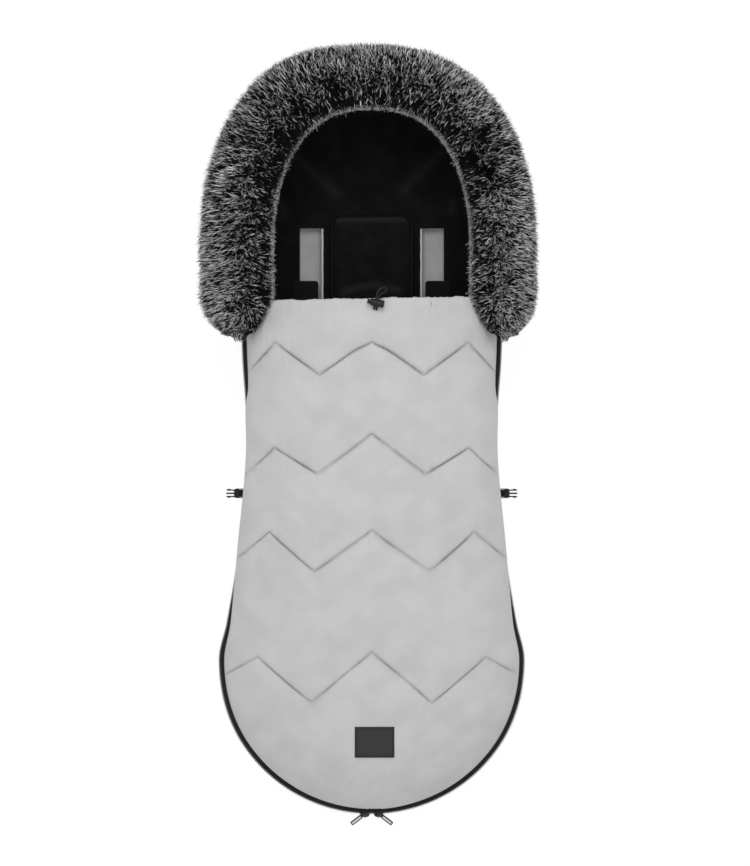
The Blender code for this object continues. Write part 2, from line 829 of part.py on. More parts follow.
def loop_route():
    """The drawcord's loop: up from the eyelet, through the cord lock, round its leaning tip and back."""
    half = CORD_SPACING / 2
    top = lock_axis_z()
    start = casing_top_z() - CASING_WALL + TOUCH
    past_lock = LOCK_ALONG + LOCK_RADIUS + LOCK_TRAVEL
    left = [Vector((-half, 0.0, start))]
    for i in range(1, LOOP_STEPS):
        a = math.pi / 2 * i / (LOOP_STEPS - 1)
        left.append(Vector((-half, CORD_BEND * (1 - math.cos(a)), start + (top - start) * math.sin(a))))
    left += [Vector((-half, LOCK_ALONG, top)), Vector((-half, past_lock, top))]
    right = [Vector((-p.x, p.y, p.z)) for p in left]

    lean = math.radians(LOOP_LEAN_DEG)
    radius = LOOP_REACH / lean
    for i in range(1, LOOP_STEPS + 1):
        t = i / LOOP_STEPS
        centre = Vector((radius * (1 - math.cos(lean * t)), past_lock + radius * math.sin(lean * t)))
        across = Vector((math.cos(lean * t), -math.sin(lean * t)))
        width = half + (LOOP_HALF_WIDTH - half) * t
        left.append(Vector((*(centre - across * width), top - LOOP_SAG * t * t)))
        right.append(Vector((*(centre + across * width), top - LOOP_SAG * t * t)))
    onward = Vector((math.sin(lean), math.cos(lean)))
    tip = []
    for i in range(1, LOOP_STEPS):
        a = math.pi * i / LOOP_STEPS
        place = centre + (onward * math.sin(a) - across * math.cos(a)) * LOOP_HALF_WIDTH
        tip.append(Vector((*place, top - LOOP_SAG)))
    return left + tip + right[::-1]


def build_drawcord_loop():
    place = lock_frame()
    points = [place @ point for point in smoothed(loop_route(), 2)]
    return round_cord("drawcord_loop", points, CORD_DIAMETER, cord_black)


def build_cord_lock():
    """A round toggle: a body with a blind bore, a button that slides in it, and the button's spring."""
    z = lock_axis_z()
    y = LOCK_ALONG
    body = cylinder("cord_lock_body", (LOCK_LEFT, y, z), (LOCK_RIGHT, y, z), LOCK_RADIUS, black_plastic)
    bevel = body.modifiers.new("rounded ends", "BEVEL")
    bevel.width = LOCK_ROUND
    bevel.segments = 2
    bevel.limit_method = "ANGLE"
    bevel.angle_limit = math.radians(60)

    bore_end = LOCK_RIGHT - LOCK_END_WALL
    bore_start = (LOCK_LEFT - LOCK_RADIUS, y, z)
    bore = cylinder("lock_bore", bore_start, (bore_end, y, z), PLUNGER_RADIUS + TOUCH)
    half_cords = CORD_SPACING / 2 + CORD_DIAMETER / 2 + CORD_SLOT_SPARE
    half_slot = CORD_DIAMETER / 2 + TOUCH
    passage = box(
        "lock_passage",
        (-half_cords, y - 2 * LOCK_RADIUS, z - half_slot),
        (half_cords, y + 2 * LOCK_RADIUS, z + half_slot),
    )
    cut(body, bore, passage)

    spring_start = bore_end - TOUCH - SPRING_LENGTH
    button = cylinder(
        "cord_lock_button",
        (LOCK_LEFT - TOUCH - BUTTON_LENGTH, y, z),
        (spring_start - TOUCH, y, z),
        PLUNGER_RADIUS,
        black_plastic,
    )
    slot = box(
        "button_slot",
        (-half_cords - BUTTON_TRAVEL, y - 2 * LOCK_RADIUS, z - half_slot),
        (half_cords, y + 2 * LOCK_RADIUS, z + half_slot),
    )
    cut(button, slot)

    turns = 8
    coil_radius = PLUNGER_RADIUS - SPRING_WIRE
    wire = []
    for i in range(SPRING_TURNS * turns + 1):
        a = 2 * math.pi * i / turns
        x = spring_start + SPRING_WIRE / 2 + (SPRING_LENGTH - SPRING_WIRE) * i / (SPRING_TURNS * turns)
        wire.append(Vector((x, y + coil_radius * math.cos(a), z + coil_radius * math.sin(a))))
    spring = round_cord("cord_lock_spring", wire, SPRING_WIRE, spring_steel, resolution=1)
    for obj in (body, bore, passage, button, slot, spring):
        obj.matrix_world = lock_frame()
    return body, button, spring


def build_label(cover):
    """A bare woven label that follows the cover's surface."""
    bm = bmesh.new()
    bmesh.ops.create_grid(bm, x_segments=6, y_segments=6, size=0.5)
    for vert in bm.verts:
        vert.co = Vector(
            (LABEL_X + vert.co.x * LABEL_WIDTH, LABEL_Y + vert.co.y * LABEL_HEIGHT, 2 * FOLD_AXIS_Z)
        )
    mesh = bpy.data.meshes.new("label")
    bm.to_mesh(mesh)
    bm.free()
    label = add_object("label", mesh, label_grey)
    wrap = label.modifiers.new("onto the cover", "SHRINKWRAP")
    wrap.wrap_method = "PROJECT"
    wrap.use_project_z = True
    wrap.use_negative_direction = True
    wrap.use_positive_direction = False
    wrap.target = cover
    wrap.offset = 2 * TOUCH
    thick = label.modifiers.new("thickness", "SOLIDIFY")
    thick.thickness = LABEL_THICKNESS
    thick.offset = 1.0


def rim_z(y):
    """Height of the hood wall's top edge, which climbs from the zip tops to the crown of the head."""
    t = min(max((y - HOOD_START_Y) / (NECK_Y + HEAD_ARCH_RISE - HOOD_START_Y), 0.0), 1.0)
    return RIM_LOW_Z + (RIM_HIGH_Z - RIM_LOW_Z) * t * t * (3 - 2 * t)


def hood_path():
    """The plan line of the hood wall, anticlockwise from its +X end round the head."""
    half = side_line(HOOD_START_Y, NECK_Y, 4)[:-1] + head_arch()
    half[-1].x = 0.0
    right, left = mirrored(half)
    return right + left


def hood_wall(name, depth, thickness, material):
    path = hood_path()
    normals = outward(path, closed=False)
    grids = []
    for inset in (WALL_INSET + depth, WALL_INSET + depth + thickness):
        grid = []
        for level in HOOD_LEVELS:
            row = []
            for point, normal in zip(path, normals):
                low, high = WALL_TOP_Z + TOUCH, rim_z(point.y) - TOUCH
                bulge = HOOD_BULGE * math.sin(math.pi * level) * (high - low) / (RIM_HIGH_Z - WALL_TOP_Z)
                place = point - normal * (inset - bulge)
                row.append(Vector((*place, low + (high - low) * level)))
            grid.append(row)
        grids.append(grid)
    return slab(name, grids[0], grids[1], material)


def rim_ring(point, normal, along, section):
    """A section of the rim, its ends cut back from the cover's corners and from the space it folds into."""
    fade = max(0.0, 1 - along / FUR_END_FADE)
    slope = math.tan(math.radians(HOOD_FOLD_DEG))
    cover_edge = side_half_width(HEM_CORNER_Y)
    ring = []
    for inset, height in section:
        place = point - normal * inset
        cut_back = max(0.0, cover_edge - abs(place.x)) * fade
        base = rim_z(point.y + cut_back)
        ring.append(Vector((place.x, place.y + cut_back + slope * height * fade, base + height)))
    return ring


def rim_loft(name, section, material):
    path = hood_path()
    normals = outward(path, closed=False)
    lengths = [0.0]
    for a, b in zip(path, path[1:]):
        lengths.append(lengths[-1] + (b - a).length)
    total = lengths[-1]
    rings = [
        rim_ring(point, normal, min(s, total - s), section)
        for point, normal, s in zip(path, normals, lengths)
    ]
    return loft(name, rings, material)


def build_hood():
    hood_wall("hood_shell", 0.0, FABRIC, back_fabric)
    hood_wall("hood_lining", FABRIC + TOUCH, HOOD_LINING, black_fleece)
    across = (RIM_TAPE_OUTER, 0.0, HOOD_LINING + FABRIC, RIM_TAPE_INNER)
    tape = [(inset, 0.0) for inset in across] + [(inset, RIM_TAPE) for inset in reversed(across)]
    rim_tape = rim_loft("rim_tape", tape, black_tape)
    middle = RIM_TAPE + TOUCH + FUR_HEIGHT / 2
    angles = [2 * math.pi * i / FUR_SIDES for i in range(FUR_SIDES)]
    section = [(FUR_HALF_WIDTH * math.cos(a), middle + FUR_HEIGHT / 2 * math.sin(a)) for a in angles]
    fur_trim = rim_loft("fur_trim", section, fur)
    return [rim_tape, fur_trim]


def rounded_rectangle(low, high, radius, steps=3):
    corners = (
        (high[0] - radius, high[1] - radius, 0.0),
        (low[0] + radius, high[1] - radius, 90.0),
        (low[0] + radius, low[1] + radius, 180.0),
        (high[0] - radius, low[1] + radius, 270.0),
    )
    points = []
    for x, y, start in corners:
        for i in range(steps + 1):
            a = math.radians(start + 90.0 * i / steps)
            points.append((x + radius * math.cos(a), y + radius * math.sin(a)))
    return points


def build_harness_closures():
    """Behind each slot a flap set into the outer fabric, and over its lower end a hook-and-loop tab."""
    flaps, tabs = [], []
    for word, side in (("left", -1), ("right", 1)):
        xs = sorted((side * (SLOT_INNER_X + RUN), side * (SLOT_OUTER_X - RUN)))
        outline = rounded_rectangle((xs[0], SLOT_LOW_Y + RUN), (xs[1], SLOT_HIGH_Y - RUN), FLAP_CORNER)
        place = Matrix.Translation((0.0, 0.0, TOUCH + FLAP_THICKNESS / 2))
        flaps.append(flat_outline(f"slot_flap_{word}", [outline], FLAP_THICKNESS, back_fabric, place))
        xs = sorted((side * TAB_INNER_X, side * TAB_OUTER_X))
        outline = rounded_rectangle((xs[0], TAB_LOW_Y), (xs[1], TAB_HIGH_Y), TAB_CORNER)
        place = Matrix.Translation((0.0, 0.0, FLOOR_Z + TOUCH + TAB_THICKNESS / 2))
        tabs.append(flat_outline(f"harness_tab_{word}", [outline], TAB_THICKNESS, black_tape, place))
    return flaps, tabs


def build_centre_pad():
    """The soft raised pad that lies between the harness slots."""
    bm = bmesh.new()
    bmesh.ops.create_cube(bm, size=1.0)
    long_edges = [e for e in bm.edges if abs(e.verts[0].co.y - e.verts[1].co.y) > 0.5]
    bmesh.ops.subdivide_edges(bm, edges=long_edges, cuts=3, use_grid_fill=True)
    wide_edges = [e for e in bm.edges if abs(e.verts[0].co.x - e.verts[1].co.x) > 0.5]
    bmesh.ops.subdivide_edges(bm, edges=wide_edges, cuts=1, use_grid_fill=True)
    low_z = FLOOR_Z + TOUCH
    for vert in bm.verts:
        vert.co = Vector(
            (
                vert.co.x * 2 * PAD_HALF_WIDTH,
                (PAD_LOW_Y + PAD_HIGH_Y) / 2 + vert.co.y * (PAD_HIGH_Y - PAD_LOW_Y),
                low_z if vert.co.z < 0 else low_z + PAD_THICKNESS,
            )
        )
    bmesh.ops.recalc_face_normals(bm, faces=bm.faces)
    crease = bm.edges.layers.float.new("crease_edge")
    for edge in bm.edges:
        low = all(v.co.z < low_z + PAD_THICKNESS / 2 for v in edge.verts)
        edge[crease] = 1.0 if low and edge.calc_face_angle(0.0) > 0.5 else PAD_EDGE_CREASE
        if edge.calc_face_angle(0.0) < 0.5:
            edge[crease] = 0.0
    mesh = bpy.data.meshes.new("centre_pad")
    bm.to_mesh(mesh)
    bm.free()
    pad = add_object("centre_pad", mesh, black_fleece)
    soft = pad.modifiers.new("soft", "SUBSURF")
    soft.levels = soft.render_levels = 2


def slider_frame(side):
    """Placement of a slider: built at the toe, then turned about the foot's centre."""
    centre = Vector((0.0, FOOT_CENTRE_Y, 0.0))
    turn = Matrix.Rotation(math.radians(side * SLIDER_ANGLE_DEG), 4, "Z")
    return Matrix.Translation(centre) @ turn @ Matrix.Translation(-centre)


def pull_axis_y():
    """y of the pull's bar on a slider built at the toe."""
    return FOOT_CENTRE_Y - FOOT_RADIUS - RUN - SLIDER_PLATE - TOUCH - PULL_BAR / 2


def build_slider(word, side):
    """A slider round both halves of the teeth: two lipped plates, joined by the post between the halves."""
    outside = FOOT_CENTRE_Y - FOOT_RADIUS
    half = SLIDER_LENGTH / 2
    low_z, high_z = TEETH_LOW_Z - RUN - SLIDER_LIP, TEETH_HIGH_Z + RUN + SLIDER_LIP
    inner_y = outside + TEETH_DEPTH + RUN + SLIDER_PLATE
    body = box(
        f"slider_{word}",
        (-half, outside - RUN - SLIDER_PLATE, low_z),
        (half, inner_y, high_z),
        dark_metal,
        bevel=SLIDER_ROUND,
    )
    teeth_way = box(
        f"slider_{word}_teeth_way",
        (-2 * half, outside - RUN, TEETH_LOW_Z - RUN),
        (2 * half, outside + TEETH_DEPTH + RUN, TEETH_HIGH_Z + RUN),
    )
    tape_way = box(
        f"slider_{word}_tape_way",
        (-2 * half, outside + TAPE_INSET - RUN, low_z - SLIDER_LIP),
        (2 * half, outside + TAPE_INSET + TAPE_THICKNESS + RUN, high_z + SLIDER_LIP),
    )
    cut(body, teeth_way, tape_way)
    post = box(
        f"slider_{word}_post",
        ((side - 1) * half * POST_SHARE, outside - RUN - SLIDER_PLATE / 2, TEETH_MIDDLE_Z - SLIDER_POST / 2),
        ((side + 1) * half * POST_SHARE, inner_y - SLIDER_PLATE / 2, TEETH_MIDDLE_Z + SLIDER_POST / 2),
    )
    bar_y = pull_axis_y()
    tunnel = PULL_BAR / 2 + TOUCH
    bridge = box(
        f"slider_{word}_bridge",
        (-half * BRIDGE_SHARE, bar_y - tunnel - BRIDGE_THICKNESS, TEETH_MIDDLE_Z - BRIDGE_WIDTH / 2),
        (half * BRIDGE_SHARE, outside - RUN - SLIDER_PLATE / 2, TEETH_MIDDLE_Z + BRIDGE_WIDTH / 2),
        bevel=METAL_ROUND,
    )
    under_bridge = box(
        f"slider_{word}_under_bridge",
        (-half * UNDER_BRIDGE_SHARE, bar_y - tunnel, TEETH_MIDDLE_Z - BRIDGE_WIDTH),
        (half * UNDER_BRIDGE_SHARE, bar_y + tunnel, TEETH_MIDDLE_Z + BRIDGE_WIDTH),
    )
    join(body, post, bridge)
    cut(body, under_bridge)
    for obj in (body, teeth_way, tape_way, post, bridge, under_bridge):
        obj.matrix_world = slider_frame(side)
    return body


def build_pull(word, side):
    """A pull: a bar under the slider's bridge, two arms past the bridge, and a flat tab."""
    eye = SLIDER_LENGTH / 2 + PULL_EYE_SPARE
    arm_low = BRIDGE_WIDTH / 2 + RUN
    half = PULL_WIDTH / 2
    pull = box(
        f"pull_{word}",
        (eye, -PULL_THICKNESS / 2, -half),
        (PULL_LENGTH, PULL_THICKNESS / 2, half),
        dark_metal,
        bevel=METAL_ROUND,
    )
    bar = cylinder(f"pull_{word}_bar", (0.0, 0.0, -half), (0.0, 0.0, half), PULL_BAR / 2, sides=12)
    arms = [
        box(
            f"pull_{word}_arm_{name}",
            (-PULL_BAR / 2, -PULL_BAR / 2, low),
            (eye + PULL_BAR / 2, PULL_BAR / 2, high),
        )
        for name, low, high in (("low", -half, -arm_low), ("high", arm_low, half))
    ]
    grip = cylinder(
        f"pull_{word}_hole",
        (PULL_LENGTH - PULL_HOLE_INSET, -PULL_THICKNESS, 0.0),
        (PULL_LENGTH - PULL_HOLE_INSET, PULL_THICKNESS, 0.0),
        PULL_HOLE_RADIUS,
        sides=12,
    )
    join(pull, bar, *arms)
    cut(pull, grip)
    place = slider_frame(side) @ Matrix.Translation((0.0, pull_axis_y(), TEETH_MIDDLE_Z))
    aim = Matrix.Rotation(-math.radians(PULL_REST_DEG), 4, "Z")
    if side < 0:
        aim = Matrix.Rotation(math.radians(180 + PULL_REST_DEG), 4, "Z")
    for obj in (pull, bar, grip, *arms):
        obj.matrix_world = place @ aim
    return pull


def buckle_outline():
    """The male half seen flat, from its webbing end at x = 0 to the tips of its three prongs."""
    half = BUCKLE_WIDTH / 2
    base, step = BUCKLE_BASE_LENGTH, PRONG_STEP
    tip = base + PRONG_LENGTH
    arm_out = half - step
    arm_in = arm_out - PRONG_WIDTH
    barb = arm_out + PRONG_BARB
    guide = PRONG_WIDTH * GUIDE_SHARE
    upper = [
        (0.0, half),
        (base - 2 * step, half),
        (base, arm_out),
        (base + PRONG_LENGTH / 2 - step / 2, arm_out),
        (base + PRONG_LENGTH / 2, barb),
        (tip - step, arm_out + PRONG_BARB / 4),
        (tip, (arm_in + arm_out) / 2),
        (tip - step, arm_in),
        (base + step / 2, arm_in),
        (base, arm_in - step / 2),
        (base, guide + step / 2),
        (base + step / 2, guide),
        (tip - step / 2, guide),
        (tip, guide / 2),
    ]
    return [(x, -y) for x, y in reversed(upper)] + upper


def buckle_window():
    """The opening at the webbing end, between the rails, that the bar crosses."""
    half = BUCKLE_WIDTH / 2 - BUCKLE_RAIL
    end = 2 * BUCKLE_BAR + 4 * WEBBING
    return rounded_rectangle((-BUCKLE_BAR, -half), (end, half), WEBBING / 2, steps=2)


def strap_root_x():
    """Centre of the strap's inner end, which lies against the rounded edge of the back."""
    corner_x = side_half_width(BUCKLE_Y - WEBBING_WIDTH / 2) - WALL_INSET - BACK_CORNER
    reach = BACK_CORNER + TOUCH + strap_half_height()
    return corner_x + math.sqrt(reach**2 - (BACK_CORNER - STRAP_Z) ** 2)


def strap_half_height():
    return BUCKLE_BAR / 2 + TOUCH + WEBBING


def racetrack(length, radius, steps=4):
    """Outline of a flat loop round two points length apart."""
    points = []
    for centre, start in ((length, -90.0), (0.0, 90.0)):
        for i in range(steps + 1):
            a = math.radians(start + 180.0 * i / steps)
            points.append((centre + radius * math.cos(a), radius * math.sin(a)))
    return points


def build_buckle(word, side):
    """A short webbing loop from the side seam, and the male half of a side-release buckle on it."""
    root = Vector((side * strap_root_x(), BUCKLE_Y, STRAP_Z))
    facing = Matrix.Rotation(math.pi if side < 0 else 0.0, 4, "Z")
    place = Matrix.Translation(root) @ facing
    upright = Matrix.Rotation(math.pi / 2, 4, "X")
    outer = racetrack(STRAP_LENGTH, strap_half_height())
    inner = racetrack(STRAP_LENGTH, strap_half_height() - WEBBING)
    strap = flat_outline(f"strap_{word}", [outer, inner], WEBBING_WIDTH, black_tape, place @ upright)

    bar_centre = BUCKLE_RAIL + BUCKLE_BAR / 2
    shift = Matrix.Translation((STRAP_LENGTH - bar_centre, 0.0, 0.0))
    at_bar = place @ shift
    outline, window = [buckle_outline()], [buckle_window()]
    buckle = flat_outline(f"buckle_{word}", outline, BUCKLE_THICKNESS, black_plastic, at_bar, BUCKLE_ROUND)
    window = flat_outline(f"buckle_{word}_window", window, 2 * BUCKLE_THICKNESS, None, at_bar)
    cut(buckle, window)
    bar = cylinder(
        f"buckle_{word}_bar",
        (bar_centre, -BUCKLE_WIDTH / 2 + BUCKLE_RAIL / 2, 0.0),
        (bar_centre, BUCKLE_WIDTH / 2 - BUCKLE_RAIL / 2, 0.0),
        BUCKLE_BAR / 2,
        sides=12,
    )
    bar.matrix_world = at_bar
    join(buckle, bar)
    return strap, buckle, root


def build():
    build_back()
    folding = build_zips()
    pads, cover_lower = build_cover()
    folding += pads
    folding += build_casing()
    folding.append(build_drawcord_loop())
    body, button, spring = build_cord_lock()
    axis_empty("fold_axis", (0.0, FOLD_Y, FOLD_AXIS_Z), *folding, body, button, spring)
    build_label(cover_lower)
    axis_empty("hood_axis", (0.0, HOOD_START_Y, RIM_LOW_Z), *build_hood())
    flaps, tabs = build_harness_closures()
    build_centre_pad()
    for side, flap, tab in zip((-1, 1), flaps, tabs):
        axis_empty(f"{flap.name}_axis", (side * (SLOT_OUTER_X - RUN), 0.0, TOUCH), flap)
        axis_empty(f"{tab.name}_axis", (side * TAB_OUTER_X, 0.0, FLOOR_Z + TOUCH + TAB_THICKNESS), tab)
    for word, side in (("left", -1), ("right", 1)):
        slider = build_slider(word, side)
        pull = build_pull(word, side)
        axis_empty(f"slider_{word}_axis", (0.0, FOOT_CENTRE_Y, TEETH_MIDDLE_Z), slider, pull)
        strap, buckle, root = build_buckle(word, side)
        axis_empty(f"buckle_{word}_axis", root, strap, buckle)


build()
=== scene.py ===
"""Looks of a winter footmuff for a pushchair, lying on its back and seen from above."""

import math

import bpy
import numpy as np
from mathutils import Matrix, Vector


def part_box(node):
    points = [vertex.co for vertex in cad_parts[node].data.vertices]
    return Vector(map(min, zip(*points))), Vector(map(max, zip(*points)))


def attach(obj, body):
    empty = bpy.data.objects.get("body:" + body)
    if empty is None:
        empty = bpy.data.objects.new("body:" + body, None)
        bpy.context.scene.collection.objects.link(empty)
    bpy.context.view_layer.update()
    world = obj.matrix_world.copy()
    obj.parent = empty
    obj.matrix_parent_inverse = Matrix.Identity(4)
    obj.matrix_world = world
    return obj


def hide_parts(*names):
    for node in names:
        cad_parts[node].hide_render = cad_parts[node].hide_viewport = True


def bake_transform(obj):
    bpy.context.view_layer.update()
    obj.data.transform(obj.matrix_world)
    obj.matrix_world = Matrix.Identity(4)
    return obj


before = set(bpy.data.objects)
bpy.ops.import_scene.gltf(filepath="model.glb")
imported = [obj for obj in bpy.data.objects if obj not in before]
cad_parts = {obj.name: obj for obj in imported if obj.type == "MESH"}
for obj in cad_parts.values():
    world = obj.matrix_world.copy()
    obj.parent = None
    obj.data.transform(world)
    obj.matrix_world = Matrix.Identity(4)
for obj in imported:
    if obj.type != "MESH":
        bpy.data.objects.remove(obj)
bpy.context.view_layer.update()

PI = math.pi

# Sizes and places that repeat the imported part's, in metres
TOUCH, RUN = 0.0003, 0.0004
FOOT_Y, FOOT_RADIUS, PLAN_STEP = -0.293, 0.199, 0.004
SIDE_STATIONS = (
    (FOOT_Y, FOOT_RADIUS), (-0.245, 0.1888), (-0.150, 0.1735), (-0.015, 0.162), (0.110, 0.169), (0.235, 0.171),
)
INSET_STATIONS = (
    (FOOT_Y, 0.0065), (-0.150, -0.002), (-0.015, -0.002), (0.034, -0.0012), (0.062, 0.0046), (0.110, 0.0063),
    (0.235, 0.0063),
)
NECK_Y, NECK_HALF, HEAD_RISE, HEAD_POWER = 0.235, 0.171, 0.228, 2.3
BACK_CORNER, WALL_INSET, WALL_TOP_Z, FLOOR_Z = 0.024, 0.0006, 0.056, 0.0131
TEETH_LOW_Z, TEETH_HEIGHT, TEETH_GAP, TEETH_DEPTH = 0.0598, 0.003, 0.0014, 0.003
TEETH_HIGH_Z = TEETH_LOW_Z + 2 * TEETH_HEIGHT + TEETH_GAP
TEETH_STAND_OUT, FOOT_SWELL = 0.0010, 0.0022
TOOTH_WIDTH, TOOTH_LENGTH, TOOTH_PITCH, TEETH_START = 0.0015, 0.0047, 0.0029, 0.0005
TAPE_INSET, TAPE_THICKNESS, TAPE_UNDER = 0.0012, 0.0008, 0.004
BODY_TAPE_TOP_Z, COVER_TAPE_LOW_Z = 0.0612, 0.0658
COVER_RADIUS, COVER_BASE_Z, COVER_CROWN, PUFF = 0.1925, 0.0718, 0.060, 0.007
CROWN_ROUND, CROWN_FALL, QUILT_THICKNESS = 2.4, 1.8, 0.0090
FOLD_Y, HEM_Y, HEM_CORNER_Y, HEM_FLAT = -0.088, 0.177, 0.132, 0.79
HEM_TILT, CHEST_ARCH = 0.0022, 0.0045
SEAM_SHARES, ROWS_PER_PUFF = (0.0, 0.42, 0.77, 1.0), 26
SEAMS = (
    (0.124, 0.077, 0.119, 0.082), (0.001, -0.051, -0.017, -0.052),
    (-0.124, -0.177, -0.126, -0.161), (-0.281, -0.347, -0.288, -0.312),
)
# How plainly the painted shade along each row's three stretches shows, from the middle outwards
SEAM_STRENGTHS = ((1.0, 0.9, 1.0), (0.18, 1.0, 0.28), (0.24, 1.0, 0.32), (0.40, 0.80, 0.55))
CASING_WIDTH, CASING_THICKNESS, CASING_RISE, CASING_REACH = 0.018, 0.007, 0.0015, 0.94
CORD_DIAMETER, CORD_SPACING = 0.0028, 0.0032
EYELET_X, EYELET_Y, LOCK_TURN = 0.0045, 0.1622, math.radians(-12)
LOCK_ALONG, LOCK_RADIUS, LOCK_TRAVEL = 0.0083, 0.0047, 0.004
HOOD_Y, RIM_LOW_Z, RIM_HIGH_Z, ZIP_TOP_Y = 0.141, 0.0705, 0.112, 0.1395
HOOD_LIFT, RIM_SPARE = math.radians(35), 0.06
FUR_HALF_WIDTH, FUR_HEIGHT, FUR_FADE, FUR_END, RIM_TAPE = 0.044, 0.062, 0.070, 0.0215, 0.0015
SLOTS_X, SLOTS_Y = (0.0625, 0.0965), (0.150, 0.274)
STRAP_ROOT_X, STRAP_ROOT_Y, STRAP_ROOT_Z = 0.158837, -0.077, 0.0035
TABS_X, TABS_Y = (0.0705, 0.1045), (0.173, 0.203)
PAD_HALF_WIDTH, PAD_Y, PAD_HEIGHT = 0.053, (-0.060, 0.288), 0.0085
PIPING_RADIUS, PIPING_Z = 0.0014, 0.0245
LABEL_CENTRE, LABEL_SIZE = (0.0036, -0.3962), (0.051, 0.040)
SIDES = (("left", -1), ("right", 1))
# Start, end and width of each fold in the fleece by the head, and in the centre pad; each fold's crest is
# raised and painted lighter as a highlight
FLEECE_FOLDS = (
    ((-0.105, 0.371), (-0.047, 0.319), 0.008), ((0.090, 0.371), (0.044, 0.325), 0.008),
    ((-0.120, 0.305), (-0.116, 0.290), 0.007), ((0.110, 0.308), (0.106, 0.295), 0.007),
)
PAD_FOLDS = (
    ((-0.046, 0.283), (0.042, 0.284), 0.0045), ((-0.038, 0.188), (0.000, 0.197), 0.0050),
    ((0.000, 0.197), (0.034, 0.190), 0.0050),
)


class Value:
    """A number in a material's nodes, on which sums can be written out."""

    def __init__(self, finish, socket):
        self.finish, self.socket = finish, socket

    def math(self, operation, *others):
        return self.finish.node("ShaderNodeMath", {"operation": operation}, dict(enumerate((self, *others))))

    def __add__(self, other):
        return self.math("ADD", other)

    def __mul__(self, other):
        return self.math("MULTIPLY", other)

    def __sub__(self, other):
        return self.math("SUBTRACT", other)

    def __rsub__(self, other):
        return self * -1 + other

    __radd__ = __add__

    def wave(self):
        return self.math("SINE")

    def between(self, low, high):
        """0 below low, 1 above high, and smooth in between."""
        sockets = {"Value": self, "From Min": low, "From Max": high}
        return self.finish.node("ShaderNodeMapRange", {"interpolation_type": "SMOOTHSTEP"}, sockets)


class Finish:
    """A procedural material."""

    def __init__(self, name, roughness=0.8, **constants):
        self.material = bpy.data.materials.new(name)
        self.material.use_nodes = True
        self.tree = self.material.node_tree
        self.shader = self.tree.nodes["Principled BSDF"]
        self.give(Roughness=roughness, **constants)

    def node(self, kind, settings=None, sockets=None, output=0):
        node = self.tree.nodes.new(kind)
        for key, value in (settings or {}).items():
            if key == "stops":
                for stop in value[len(node.color_ramp.elements):]:
                    node.color_ramp.elements.new(stop[0])
                for element, (place, colour) in zip(node.color_ramp.elements, value):
                    element.position, element.color = place, (*colour, 1.0)
            else:
                setattr(node, key, value)
        for key, value in (sockets or {}).items():
            self.feed(node.inputs[key], value)
        return Value(self, node.outputs[output])

    def feed(self, socket, value):
        if isinstance(value, Value):
            self.tree.links.new(value.socket, socket)
        elif isinstance(value, tuple) and socket.type == "RGBA":
            socket.default_value = (*value, 1.0)
        else:
            socket.default_value = value

    def give(self, **sockets):
        for key, value in sockets.items():
            self.feed(self.shader.inputs[key.replace("_", " ")], value)

    def place(self, map_name="Object"):
        return self.node("ShaderNodeTexCoord", output=("Generated", "Normal", "UV", "Object").index(map_name))

    def part(self, vector, axis):
        return self.node("ShaderNodeSeparateXYZ", {}, {0: vector}, axis)

    def attribute(self, name):
        return self.node("ShaderNodeAttribute", {"attribute_name": name}, output="Fac")

    def noise(self, size, vector=None, detail=3.0, roughness=0.5):
        """Cloudy noise whose patches are about size metres across."""
        sockets = {"Vector": vector or self.place(), "Scale": 1 / size, "Detail": detail,
                   "Roughness": roughness}
        return self.node("ShaderNodeTexNoise", {}, sockets)

    def cells(self, size):
        return self.node("ShaderNodeTexVoronoi", {}, {"Vector": self.place(), "Scale": 1 / size})

    def mix(self, factor, first, second):
        sockets = {"Factor": factor, 6: first, 7: second}
        return self.node("ShaderNodeMix", {"data_type": "RGBA"}, sockets, output=2)

    def bump(self, height, distance, strength=1.0):
        """Raises the surface by distance metres where height is 1."""
        bump = self.node("ShaderNodeBump", {}, {"Height": height, "Distance": distance, "Strength": strength})
        self.give(Normal=bump)

    def crossing(self, vector, pitch):
        """Height of two sets of ribs that cross, each a pitch apart."""
        warp, weft = ((self.part(vector, axis) * (PI / pitch)).wave() for axis in (0, 1))
        return warp * weft

    def weave(self, pitch):
        """Height of a plain weave with threads a pitch apart, on the piece's own UV map."""
        return self.crossing(self.place("UV"), pitch) * 0.5 + 0.5


def pale_cover_finish():
    """Soft, closely woven pale polyester, with a sunk line of stitches along the quilting; painted shade
    darkens each seam's groove and, more softly, the cloth beside it.
    """
    cloth = Finish("pale_cover_cloth", 0.78, Sheen_Weight=0.25, Sheen_Roughness=0.5, Specular_IOR_Level=0.25)
    seam, run = cloth.attribute("seam_gap"), cloth.attribute("seam_run")
    # The dark line along each seam is painted shade in its groove, plainer on some stretches than on others
    strength = cloth.noise(0.030, detail=1.0).between(0.36, 0.60) * 0.45 + cloth.attribute("seam_slope") * 0.65
    line = (1 - seam.between(0.0003, 0.0012)) * strength
    # Softer painted shade on the cloth beside each seam
    shade = (1 - seam.between(0.0005, 0.0085)) * cloth.noise(0.040, detail=2.0).between(0.35, 0.65)
    stitch = (run * (2 * PI / 0.0034)).wave().between(-0.75, -0.35)
    mottle = cloth.noise(0.035, detail=4.0).between(0.3, 0.7)
    fibre = cloth.noise(0.0009, cloth.place("UV"), 2.0)
    base = cloth.mix(mottle, (0.546, 0.539, 0.549), (0.597, 0.590, 0.602))
    base = cloth.mix(fibre * 0.16, base, (0.428, 0.422, 0.431))
    base = cloth.mix(shade * 0.30, base, (0.408, 0.403, 0.410))
    base = cloth.mix(line * 0.92, base, (0.10, 0.098, 0.095))
    base = cloth.mix(line * stitch * 0.5, base, (0.50, 0.495, 0.485))
    cloth.give(Base_Color=base, Roughness=0.74 + fibre * 0.12)
    creases = cloth.noise(0.016, detail=5.0, roughness=0.55)
    cloth.bump(creases * 0.9 + cloth.weave(0.0007) * 0.10 - line * 0.25, 0.0016, 0.55)
    return cloth


